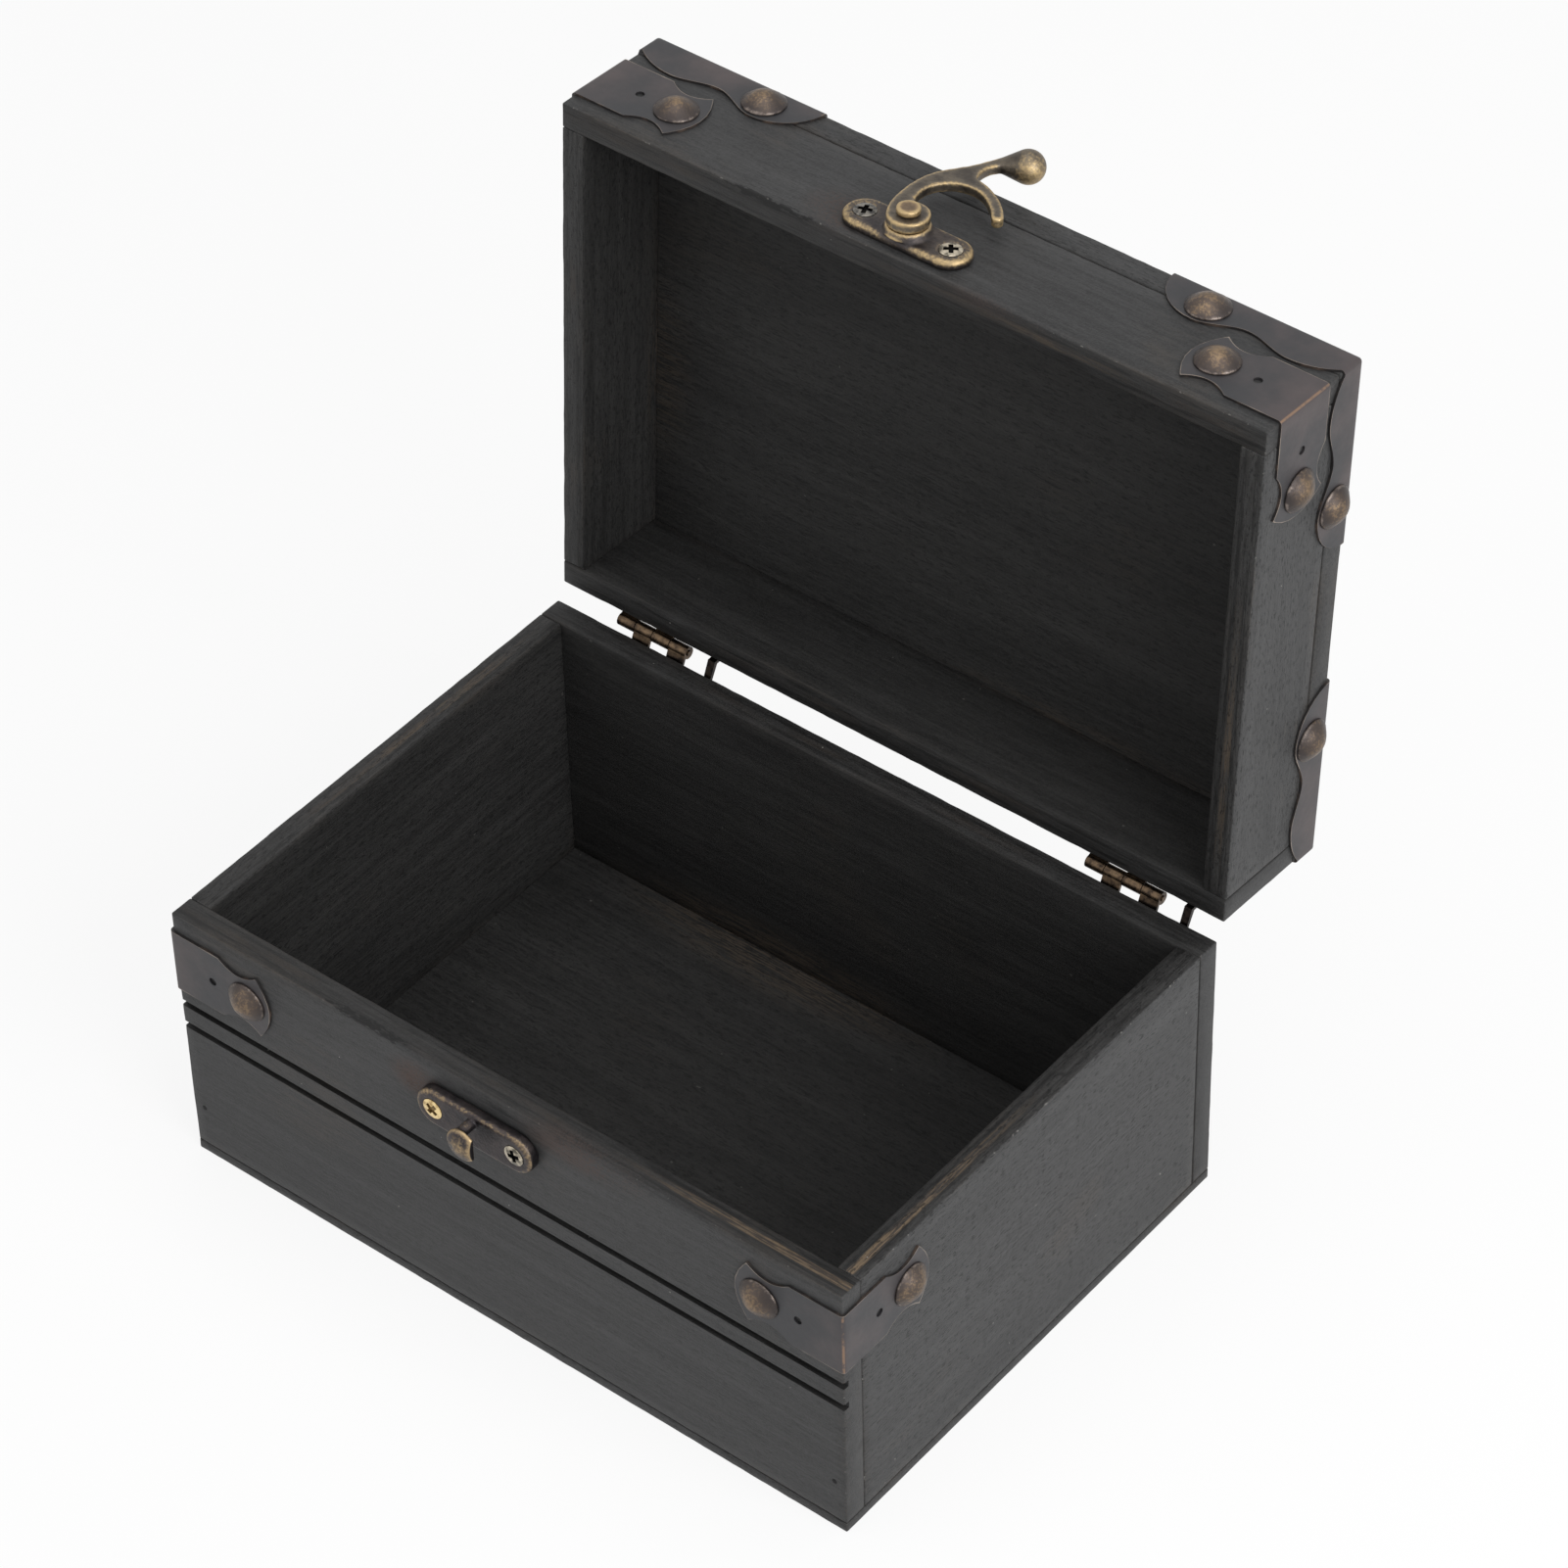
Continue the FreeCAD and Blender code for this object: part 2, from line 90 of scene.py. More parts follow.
def box_of(points):
    """The lowest and the highest corner round some points."""
    low = Vector([min(p[i] for p in points) for i in range(3)])
    high = Vector([max(p[i] for p in points) for i in range(3)])
    return low, high


def shut_box(node):
    """A node's lowest and highest corner with the lid shut."""
    back = to_shut(node)
    return box_of([back @ vertex.co for vertex in nodes[node].data.vertices])


base_low, _ = shut_box("base_bottom_board")
_, base_high = shut_box("base_front_panel")
_, lid_high = shut_box("lid_top_board")
lid_low, _ = shut_box("lid_front_panel")
half_width, half_depth = -base_low.x, -base_low.y
base_rim, lid_rim, lid_top = base_high.z, lid_low.z, lid_high.z
print("half width, half depth, rims and top in mm:",
      [round(v / mm, 2) for v in (half_width, half_depth, base_rim, lid_rim, lid_top)])

# %% [markdown]
# Finishes are written as maths on fields. A field is a socket that varies over the surface. Wrapping it in
# a small class lets plain Python operators add Math nodes, and one method makes every other kind of node.

# %% A field of values on a surface
def feed(tree, socket, value):
    """Link a field to a socket, or give the socket a plain value."""
    if isinstance(value, Field):
        tree.links.new(value.socket, socket)
    else:
        socket.default_value = value


class Field:
    def __init__(self, tree, socket=None):
        self.tree = tree
        self.socket = socket

    def make(self, kind, sockets, output=0, **settings):
        """Add a node: first its settings, then the values or links of its sockets."""
        node = self.tree.nodes.new(kind)
        for name, value in settings.items():
            setattr(node, name, value)
        for key, value in sockets.items():
            feed(self.tree, node.inputs[key], value)
        return Field(self.tree, node.outputs[output])

    def math(self, operation, first, second):
        return self.make("ShaderNodeMath", {0: first, 1: second}, operation=operation)

    def __add__(self, other):
        return self.math("ADD", self, other)

    def __sub__(self, other):
        return self.math("SUBTRACT", self, other)

    def __rsub__(self, other):
        return self.math("SUBTRACT", other, self)

    def __mul__(self, other):
        return self.math("MULTIPLY", self, other)

    __radd__ = __add__
    __rmul__ = __mul__


print("the field class is ready")

# %% [markdown]
# A few kinds of node come back in every finish: noise, a soft step, a blend of two colours, a bump, and the
# values that the mesh code has painted on a piece. Each gets a short name here, so that a finish reads as a
# recipe and not as a list of nodes.

# %% Nodes that the finishes share
def stretched(field, scale):
    return field.make("ShaderNodeVectorMath", {0: field, 1: scale}, operation="MULTIPLY")


def grain(field, scale, detail=4.0, roughness=0.55):
    return field.make("ShaderNodeTexNoise", {"Vector": field, "Scale": scale, "Detail": detail,
                                             "Roughness": roughness})


def step(field, low, high):
    """A soft step from 0 at low to 1 at high."""
    return field.make("ShaderNodeMapRange", {"Value": field, 1: low, 2: high},
                      interpolation_type="SMOOTHSTEP")


def blend(first, second, mask):
    """One colour giving way to another where the mask is 1."""
    return mask.make("ShaderNodeMix", {0: mask, 6: first, 7: second}, output=2, data_type="RGBA")


def bump(height, strength, distance):
    return height.make("ShaderNodeBump", {"Height": height, "Strength": strength, "Distance": distance})


def mark(field, name):
    """A value that the mesh code has painted on the points of a piece."""
    return field.make("ShaderNodeAttribute", {}, output="Fac", attribute_name=name)


def facing(field, axis):
    """How far the surface faces along an axis of its object, from -1 to 1."""
    normal = field.make("ShaderNodeTexCoord", {}, output="Normal")
    return field.make("ShaderNodeSeparateXYZ", {0: normal}, output=axis)


def rgb(red, green, blue):
    return (red, green, blue, 1.0)


def new_finish(name):
    """A material, a field to start its maths from, and a function that fills its surface's sockets."""
    material = bpy.data.materials.new(name)
    material.use_nodes = True
    tree = material.node_tree
    surface = tree.nodes["Principled BSDF"]

    def fill(**sockets):
        for key, value in sockets.items():
            feed(tree, surface.inputs[key.replace("_", " ")], value)

    drawn = Field(tree).make("ShaderNodeTexCoord", {}, output="Object")
    return material, drawn, fill


print("the shared nodes are ready")

# %% [markdown]
# Hands and tools have worn the wood in a few places. Each is a soft spot in space: a point, how far it
# reaches along x, y and z, and how much it shows there. Weights painted on the mesh could do the same, but
# a spot stays in its place however finely a board is divided.

# %% Worn places on the wood
WALL = 6 * mm
FULL_WITHIN = 0.2  # a spot shows fully within this share of its reach

# Where hands have opened the stain on the rims.
RUBBED_BASE_RIM = (
    ((half_width, -half_depth, base_rim), (65 * mm, 75 * mm, 4 * mm), 1.0),
    ((-half_width, 15 * mm, base_rim), (12 * mm, 45 * mm, 4 * mm), 0.35))
RUBBED_LID_RIM = (
    ((half_width, half_depth - 45 * mm, lid_rim), (12 * mm, 40 * mm, 4 * mm), 0.3),
    ((35 * mm, -half_depth, lid_rim), (30 * mm, 12 * mm, 4 * mm), 0.25))

# Where brown wood shows through inside: along the back of the floor, and along two seams of the lid.
RUBBED_INSIDE = (
    ((-25 * mm, half_depth - WALL, 4 * mm), (55 * mm, 14 * mm, 10 * mm), 1.0),
    ((35 * mm, half_depth - WALL, lid_top - 3 * mm), (75 * mm, 7 * mm, 6 * mm), 1.0),
    ((-half_width + WALL, 15 * mm, lid_top - 3 * mm), (14 * mm, 35 * mm, 10 * mm), 0.8))

# Brown smears on the front, where the latch and the strike were screwed on.
SMEARED = (
    ((-22 * mm, -half_depth, base_rim - 8 * mm), (9 * mm, 5 * mm, 7 * mm), 1.0),
    ((-20 * mm, -half_depth, lid_rim + 7 * mm), (12 * mm, 5 * mm, 9 * mm), 0.8),
    ((24 * mm, -half_depth, base_rim - 3 * mm), (22 * mm, 5 * mm, 6 * mm), 0.8))

# Where the saw has torn the fibres out of the front's upper edge.
TORN = (((-35 * mm, -half_depth + 0.6 * mm, base_rim), (24 * mm, 2.6 * mm, 2.4 * mm), 1.0),)


def near(field, spot, reach):
    """1 at a spot, fading to 0 at its reach."""
    away = field.make("ShaderNodeVectorMath", {0: field, 1: spot}, operation="SUBTRACT")
    share = field.make("ShaderNodeVectorMath", {0: away, 1: reach}, operation="DIVIDE")
    distance = field.make("ShaderNodeVectorMath", {0: share}, output="Value", operation="LENGTH")
    return 1.0 - step(distance, FULL_WITHIN, 1.0)


def near_any(field, spots):
    shares = [near(field, spot, reach) * share for spot, reach, share in spots]
    return sum(shares[1:], shares[0])


print("worn places:", len(RUBBED_BASE_RIM + RUBBED_LID_RIM + RUBBED_INSIDE + SMEARED + TORN))

# %% [markdown]
# The boards are plywood. On their sawn rims three plies show: the middle one is brown, and gold threads
# come through it where hands have rubbed the corner. Real layers of mesh could show them too, but bands of
# colour are enough for plies this thin. The mesh paints a value for that, through, which goes from 0 on a
# board's outer face to 1 on its inner face.

# %% Plies on the rims
PORE_BLACK = rgb(0.005, 0.005, 0.005)
PLY_BROWN = rgb(0.050, 0.036, 0.027)
PLY_GOLD = rgb(0.140, 0.102, 0.066)
RIM_SHADE = (0.54, 0.525, 0.51)


def ply_edges(drawn, colour, threads):
    """The sawn rim: darker, with a brown middle ply between black glue lines, and gold where it is rubbed."""
    lift = facing(drawn, "Z")
    upward = step(lift, 0.7, 0.95)
    downward = step(lift * -1.0, 0.7, 0.95)
    level = upward + downward
    off_middle = mark(drawn, "through") - 0.5
    middle = 1.0 - 4.0 * (off_middle * off_middle)
    heart = step(middle, 0.85, 0.97)
    glue = step(middle, 0.46, 0.76) - heart
    patches = step(grain(drawn, 24.0, detail=2.0), 0.52, 0.66)
    rubbed = upward * near_any(drawn, RUBBED_BASE_RIM) + downward * near_any(drawn, RUBBED_LID_RIM)
    colour = blend(colour, stretched(colour, RIM_SHADE), level * (0.7 + threads * 0.3))
    colour = blend(colour, PLY_BROWN, level * heart * (rubbed * 0.5 + patches * 0.18))
    colour = blend(colour, PORE_BLACK, level * glue * (0.1 + rubbed * 0.3 + threads * 0.45))
    return blend(colour, PLY_GOLD, level * heart * threads * (rubbed + patches * 0.05))


print("the rims keep this share of the stain's red, green and blue:", RIM_SHADE)

# %% [markdown]
# A thin black stain covers the boards. It settles in the pores, so the grain shows as fine streaks and
# dashes along each board. Inside the box the wood is duller, and its colour is darkened there as painted
# shade; the outer faces of boards with their grain along x are darkened a little as painted shade too.
# A picture of wood would have to be laid out on every board, so noise stretched along the grain makes the
# streaks. The mesh paints a second value, rub, on the edges, where the stain is thin and chipped.

# %% Stained wood
STAIN_DARK = rgb(0.022, 0.022, 0.0225)
STAIN_PALE = rgb(0.068, 0.068, 0.0685)
DUSTY_BROWN = rgb(0.072, 0.056, 0.042)
SMEAR_BROWN = rgb(0.055, 0.034, 0.027)
DUST = rgb(0.30, 0.29, 0.27)
# Painted shade: the share of its colour that the wood keeps inside the box, where little light reaches.
INSIDE_PAINTED_SHADE = (0.50, 0.49, 0.475)
# Painted shade: the share of their colour that the outer faces keep, less on boards with their grain along x.
OUTSIDE_PAINTED_SHADE = {"x": (0.88, 0.88, 0.88), "y": (1.0, 1.0, 1.0)}
WOOD_SHEEN = 0.22


def front_wear(drawn, colour, outside, blots, fibres):
    """Smears by the latch, and fibres torn out of the upper edge."""
    smears = near_any(drawn, SMEARED) * step(blots, 0.38, 0.56)
    colour = blend(colour, SMEAR_BROWN, outside * smears)
    torn = near_any(drawn, TORN) * 0.42 + grain(fibres, 1000.0, detail=4.0, roughness=0.65)
    return blend(colour, PORE_BLACK, step(torn, 0.80, 0.90) * 0.85)


def dusted(drawn, colour, inside):
    """Specks of dust all over, and pale chips along the outer edges."""
    specks = step(grain(drawn, 900.0, detail=0.0), 0.90, 0.92)
    colour = blend(colour, DUST, specks * (0.7 - inside * 0.55))
    chips = step(mark(drawn, "rub"), 0.45, 0.9) * step(grain(drawn, 650.0, detail=2.0), 0.64, 0.70)
    return blend(colour, DUST, chips * (0.35 - inside * 0.35))


def stained_wood(name, along, rims, pored):
    """Wood with its grain along x or y. Boards whose rims show get the plies and the front's wear."""
    wood, drawn, fill = new_finish(name)

    def fibres(share):
        return stretched(drawn, {"x": (share, 1.0, 1.0), "y": (1.0, share, 1.0)}[along])

    streak = grain(fibres(0.05), 1100.0, detail=6.0, roughness=0.75)
    pores = step(grain(fibres(0.22), 2300.0, detail=3.0, roughness=0.6), 0.54, 0.62)
    brushed = step(grain(fibres(0.05), 240.0, detail=3.0), 0.50, 0.68)
    bands = grain(fibres(0.12), 50.0, detail=3.0)
    clouds = grain(drawn, 26.0, detail=3.0)
    fuzz = grain(drawn, 2300.0, detail=2.0)
    threads = step(grain(fibres(0.05), 2600.0, detail=3.0), 0.42, 0.58)
    tone = step(streak, 0.38, 0.62) * 0.4 + step(bands, 0.36, 0.64) * 0.22
    tone = tone + step(fuzz, 0.38, 0.62) * 0.26 + brushed * 0.24
    colour = blend(STAIN_DARK, STAIN_PALE, tone)
    faded = step(clouds * 0.6 + streak * 0.4, 0.56, 0.68)
    colour = blend(colour, DUSTY_BROWN, faded * 0.25)
    handled = mark(drawn, "rub") * step(streak * 0.5 + clouds * 0.5, 0.46, 0.60)
    colour = blend(colour, DUSTY_BROWN, handled * 0.35)
    if rims:
        colour = ply_edges(drawn, colour, threads)
    inside = step(mark(drawn, "through"), 0.9, 1.0)
    # Painted shade: darker inside the box, and a little darker on the outer faces of boards with grain along
    # x.
    colour = blend(stretched(colour, OUTSIDE_PAINTED_SHADE[along]), stretched(colour, INSIDE_PAINTED_SHADE), inside)
    colour = blend(colour, DUSTY_BROWN, inside * near_any(drawn, RUBBED_INSIDE) * threads * 0.7)
    if rims:
        colour = front_wear(drawn, colour, 1.0 - inside, clouds * 0.5 + fuzz * 0.5, fibres(0.4))
    colour = blend(colour, PORE_BLACK, pores * pored)
    colour = dusted(drawn, colour, inside)
    relief = streak * 0.6 + fuzz * 0.5 - pores * pored * 0.3
    fill(Base_Color=colour, Roughness=0.44 + tone * 0.16 + inside * 0.2, Specular_IOR_Level=WOOD_SHEEN,
         Normal=bump(relief, 0.4, 0.3 * mm))
    return wood


wood_across = stained_wood("wood_grain_across", "x", rims=True, pored=0.3)
wood_fore_aft = stained_wood("wood_grain_fore_and_aft", "y", rims=True, pored=0.7)
wood_flat = stained_wood("wood_flat_board", "x", rims=False, pored=0.6)
print("wood finishes:", [m.name for m in (wood_across, wood_fore_aft, wood_flat)])

# %% [markdown]
# A new piece needs the same few things each time: an object for its mesh, its finish, the body that it
# rides on and the CAD node that it stands for. One function does them all.

# %% Adding a piece
def add_object(name, data):
    """Put a mesh, a lamp or a camera in the scene."""
    thing = bpy.data.objects.new(name, data)
    bpy.context.scene.collection.objects.link(thing)
    return thing


def add_piece(node, mesh, finishes, shut=True):
    """Add a mesh that stands for a node and is drawn on the shut box, or else as it rests."""
    body = body_of_node(node)
    piece = add_object("dressed_" + node, mesh)
    for finish in finishes:
        mesh.materials.append(finish)
    if shut:
        piece.matrix_world = place_of[body]
    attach(piece, body)
    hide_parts(node)
    return piece


def paint(mesh, name, values):
    """Keep one value for each point of a mesh, for a finish to read."""
    mesh.attributes.new(name, "FLOAT", "POINT").data.foreach_set("value", values)


def mesh_from(name, points, faces, marks):
    """A smooth mesh with values painted on its points."""
    mesh = bpy.data.meshes.new(name)
    mesh.from_pydata(points, [], faces)
    for key, values in marks.items():
        paint(mesh, key, values)
    mesh.shade_smooth()
    return mesh


print("pieces can ride on:", sorted(place_of))

# %% [markdown]
# A sawn and stained board has softened edges that are never quite straight. A Bevel modifier would make
# them too even, so each board is a shell of small quads: points beyond the inner box are pulled on to a
# rounded edge, and noise nibbles that edge a little. The rub value is painted on the edge at the same time.

# %% Boards
EDGE_EASE = 0.35 * mm
BOARD_CELL = 2.5 * mm
NIBBLE = 0.2 * mm
NIBBLE_BIAS = 0.2
NIBBLE_SCALE = 1 / (4 * mm)
RUB_BESIDE = 0.5


def stops(low, high):
    inner = high - low - 2 * EDGE_EASE
    count = max(2, round(inner / BOARD_CELL))
    return [low] + [low + EDGE_EASE + inner * i / count for i in range(count + 1)] + [high]


def rounded(point, low, high):
    """The point pulled on to the rounded box, and whether it lies on an edge."""
    core = Vector([min(max(point[i], low[i] + EDGE_EASE), high[i] - EDGE_EASE) for i in range(3)])
    out = point - core
    on_edge = sum(abs(c) > EDGE_EASE / 2 for c in out) > 1
    ease = EDGE_EASE
    if on_edge:
        ease -= NIBBLE * max(0.0, noise.noise(point * NIBBLE_SCALE) + NIBBLE_BIAS)
    return core + out.normalized() * ease, on_edge


def rub_mark(on_edge, index, sizes):
    """1 on an edge, less on the points beside it and 0 elsewhere."""
    if on_edge:
        return 1.0
    beside = any(i in (1, size - 2) for i, size in zip(index, sizes))
    return RUB_BESIDE if beside else 0.0


def depth_through(point, low, high, centre):
    """How deep a point lies in a board, from 0 on its outer face to 1 on the face towards the centre."""
    thin = min(range(3), key=lambda i: high[i] - low[i])
    share = (point[thin] - low[thin]) / (high[thin] - low[thin])
    return share if centre[thin] > high[thin] else 1 - share


def shell_rings(sizes):
    """The grid indices round each quad of a shell, and whether the quad lies at the high end of its axis."""
    for axis in range(3):
        across, up = (axis + 1) % 3, (axis + 2) % 3
        for end in (0, sizes[axis] - 1):
            for p in range(sizes[across] - 1):
                for q in range(sizes[up] - 1):
                    ring = [[0, 0, 0] for _ in range(4)]
                    for index, (dp, dq) in zip(ring, ((0, 0), (1, 0), (1, 1), (0, 1))):
                        index[axis], index[across], index[up] = end, p + dp, q + dq
                    yield [tuple(index) for index in ring], end > 0


def board_mesh(name, low, high, centre):
    lines = [stops(low[i], high[i]) for i in range(3)]
    sizes = [len(line) for line in lines]
    points, faces, rub, through, known = [], [], [], [], {}

    def corner(index):
        if index not in known:
            known[index] = len(points)
            sharp = Vector([lines[i][index[i]] for i in range(3)])
            point, on_edge = rounded(sharp, low, high)
            points.append(point)
            rub.append(rub_mark(on_edge, index, sizes))
            through.append(depth_through(sharp, low, high, centre))
        return known[index]

    for ring, at_high_end in shell_rings(sizes):
        face = [corner(index) for index in ring]
        faces.append(face if at_high_end else face[::-1])
    return mesh_from(name, points, faces, {"rub": rub, "through": through})


def wood_for(node):
    if node.endswith("_board"):
        return wood_flat
    return wood_fore_aft if "_left_" in node or "_right_" in node else wood_across


centres = {"base": Vector((0, 0, base_rim / 2)), "lid": Vector((0, 0, (lid_rim + lid_top) / 2))}
boards = {}
for node in sorted(nodes):
    if node.endswith(("_panel", "_board")):
        low, high = shut_box(node)
        mesh = board_mesh(node, low, high, centres[body_of_node(node)])
        boards[node] = add_piece(node, mesh, [wood_for(node)])
print("boards:", len(boards), "faces:", sum(len(b.data.polygons) for b in boards.values()))

# %% [markdown]
# Two saw grooves run across the front of the base. They could be modelled into the board's grid. Cutting
# them with a Boolean keeps their walls crisp, as a saw leaves them, and the cutters are two plain bars that
# are removed afterwards.

# %% Grooves across the base's front
GROOVE_WIDTH = 1.8 * mm
GROOVE_DEPTH = 1.5 * mm
GROOVE_DROPS = (26.3 * mm, 32.7 * mm)
GROOVE_CREASE = math.radians(50)
CUTTER_PAST = 1 * mm


def mesh_of(shape, name):
    """The mesh of a bmesh shape, which is freed."""
    mesh = bpy.data.meshes.new(name)
    shape.to_mesh(mesh)
    shape.free()
    return mesh


def bar(low, high):
    shape = bmesh.new()
    size = high - low
    bmesh.ops.create_cube(shape, size=1.0,
                          matrix=Matrix.Translation((low + high) / 2) @ Matrix.Diagonal((*size, 1.0)))
    return mesh_of(shape, "bar")


def settle(piece):
    """Keep what the modifiers give as the piece's own mesh."""
    bpy.context.view_layer.update()
    graph = bpy.context.evaluated_depsgraph_get()
    done = bpy.data.meshes.new_from_object(piece.evaluated_get(graph), preserve_all_data_layers=True,
                                           depsgraph=graph)
    piece.modifiers.clear()
    piece.data = done


def carve(piece, cutters):
    """Cut meshes that are drawn in the piece's own space out of the piece."""
    for mesh in cutters:
        cutter = add_object("cutter", mesh)
        cutter.matrix_world = piece.matrix_world
        cut = piece.modifiers.new("cut", "BOOLEAN")
        cut.operation = "DIFFERENCE"
        cut.solver = "EXACT"
        cut.object = cutter
        settle(piece)
        bpy.data.objects.remove(cutter)


def groove_bar(drop):
    """A bar along a groove, which stands past the board's front and both its ends."""
    height = base_rim - drop
    low = Vector((-half_width - CUTTER_PAST, -half_depth - CUTTER_PAST, height - GROOVE_WIDTH / 2))
    high = Vector((half_width + CUTTER_PAST, -half_depth + GROOVE_DEPTH, height + GROOVE_WIDTH / 2))
    return bar(low, high)


front = boards["base_front_panel"]
carve(front, [groove_bar(drop) for drop in GROOVE_DROPS])
front.data.set_sharp_from_angle(angle=GROOVE_CREASE)
print("front board faces after the grooves:", len(front.data.polygons))

# %% [markdown]
# The straps and guards are thin sheet with a dark bronze lacquer. Folding and handling rub the lacquer off
# the bends, where copper shows. A pale line along the edges is partly rubbed lacquer and partly a painted
# highlight, and the cut sides are painted dark as shade. The finish could guess at those places with noise.
# Here the mesh paints two values that tell it where they are, edge and fold.

# %% Bronze sheet
LACQUER = rgb(0.029, 0.029, 0.032)
LACQUER_WARM = rgb(0.073, 0.058, 0.058)
# A pale line along the sheet's edges: partly rubbed lacquer, partly a painted highlight.
EDGE_WEAR_AND_HIGHLIGHT = rgb(0.44, 0.36, 0.29)
COPPER_FOLD = rgb(0.28, 0.175, 0.11)
# Painted shade: the cut sides of the sheet are dark, with a few brown rubs.
CUT_PAINTED_SHADE = rgb(0.018, 0.016, 0.016)
CUT_BROWN = rgb(0.075, 0.052, 0.04)


def bronze_sheet():
    bronze, drawn, fill = new_finish("bronze_sheet")
    clouds = grain(drawn, 70.0, detail=4.0)
    specks = grain(drawn, 900.0, detail=3.0)
    fold = mark(drawn, "fold")
    colour = blend(LACQUER, LACQUER_WARM, step(clouds * 0.8 + fold * 0.2, 0.34, 0.74))
    folded = step(fold, 0.85, 0.98) * step(clouds * 0.5 + specks * 0.6, 0.44, 0.62)
    edged = step(mark(drawn, "edge") * (0.05 + grain(drawn, 110.0) * 1.4), 0.45, 0.95)
    colour = blend(colour, COPPER_FOLD, folded * 0.9)
    # The pale edge line: partly rubbed lacquer, partly a painted highlight.
    colour = blend(colour, EDGE_WEAR_AND_HIGHLIGHT, edged * 0.7)
    fill(Base_Color=colour, Metallic=0.3 + folded * 0.3, Roughness=0.40 + specks * 0.14,
         Normal=bump(clouds + specks * 0.25, 0.25, 0.2 * mm))
    return bronze


def cut_edge():
    """The sheet's cut side, painted dark as shade, with a few brown rubs."""
    cut, drawn, fill = new_finish("sheet_cut_edge")
    rubs = step(grain(drawn, 240.0, detail=4.0), 0.5, 0.7)
    fill(Base_Color=blend(CUT_PAINTED_SHADE, CUT_BROWN, rubs), Metallic=0.3, Roughness=0.5 + rubs * 0.1)
    return cut


sheet_finishes = [bronze_sheet(), cut_edge()]
print("sheet finishes:", [finish.name for finish in sheet_finishes])

# %% [markdown]
# A sheet piece is drawn as one layer of quads that lies on the wood and turns the corner on a small radius.
# A Solidify modifier then gives the layer the sheet's thickness on its outer side. Drawing rows and columns
# along the real outline keeps the wavy edge clean, and puts the painted values exactly on it.

# %% Plan of a corner and sheet layers
SHEET = 0.6 * mm
FOLD_RADIUS = 0.4 * mm
SEAT_GAP = 0.03 * mm
FOLD_STEPS = 5
FOLD_FADE = 7 * mm
SHEET_CREASE = math.radians(40)


def corner_column(side, face, turn):
    """Plan place and outward side in the fold, from the long face at 0 to the short face at 1."""
    angle = turn * math.pi / 2
    outward = Vector((side * math.sin(angle), face * math.cos(angle), 0))
    middle = Vector((side * (half_width - FOLD_RADIUS), face * (half_depth - FOLD_RADIUS), 0))
    return middle + outward * FOLD_RADIUS, outward


def leg_column(side, face, leg, along):
    """Plan place and outward side on a leg, at a distance along from the corner."""
    if leg == "long":
        return Vector((side * (half_width - along), face * half_depth, 0)), Vector((0, face, 0))
    return Vector((side * half_width, face * (half_depth - along), 0)), Vector((side, 0, 0))


def grid_faces(rows, columns, flip):
    faces = []
    for c in range(columns - 1):
        for r in range(rows - 1):
            ring = [c * rows + r, (c + 1) * rows + r, (c + 1) * rows + r + 1, c * rows + r + 1]
            faces.append(ring[::-1] if flip else ring)
    return faces


def thicken(piece):
    """Give a layer the sheet's thickness. Its cut sides take the second finish."""
    solid = piece.modifiers.new("sheet", "SOLIDIFY")
    solid.thickness = SHEET - SEAT_GAP
    solid.offset = 1.0
    solid.use_even_offset = True
    solid.material_offset_rim = 1
    settle(piece)
    piece.data.set_sharp_from_angle(angle=SHEET_CREASE)


print("sheet and fold radius in mm:", [round(v / mm, 2) for v in (SHEET, FOLD_RADIUS)])

# %% [markdown]
# Each strap wraps a front corner: straight by the corner, waisted, and ending in a fishtail with a rounded
# end. Cutting that outline from a plain strip would leave ragged quads. Here a row's place between the two
# edges is a share, so every column fits between the waisted edges.

# %% Corner straps
STRAP_STRAIGHT = 13.3 * mm
STRAP_TAIL = 23.9 * mm
STRAP_REACH = 27.2 * mm
STRAP_WAIST = 2.2 * mm
STRAP_HOLE_AT = 11.0 * mm
STRAP_HOLE_RADIUS = 1.0 * mm
HOLE_SPOKES = 24
STRAP_STUD_AT = 20.8 * mm
# Rows as shares of the strap's height, closer together by its edges.
STRAP_ROWS = (0.0, 0.02, 0.06, 0.2, 0.35, 0.5, 0.65, 0.8, 0.94, 0.98, 1.0)
STRAIGHT_STEPS = 8
TAIL_STEPS = 14
TAIL_RIM = 0.975
TAIL_SHARES = tuple(i / TAIL_STEPS for i in range(1, TAIL_STEPS)) + (TAIL_RIM, 1.0)
TAIL_MARKS = {TAIL_RIM: 0.4, 1.0: 1.0}
EDGE_MARKS = {0: 1.0, 1: 0.5}
FOLD_SIDE = 0.7


def bulge(share, height):
    """How far an arc with that height stands off its chord, at a share of the chord."""
    return height * (1 - (2 * share - 1) ** 2)


def tail_point(share, row, tall):
    """Place along the leg and height, in the waisted part of a leg."""
    pinch = bulge(share, STRAP_WAIST)
    end = STRAP_TAIL + bulge(row, STRAP_REACH - STRAP_TAIL)
    return STRAP_STRAIGHT + share * (end - STRAP_STRAIGHT), pinch + row * (tall - 2 * pinch)


def crease(i):
    """The fold's mark at a step of its turn: full in the middle, less at its sides."""
    return 1.0 - (1.0 - FOLD_SIDE) * abs(2 * i / FOLD_STEPS - 1)


def upright_spots(column, tall):
    """A column's plan place and outward side with the height of each row."""
    return [(*column, row * tall) for row in STRAP_ROWS]


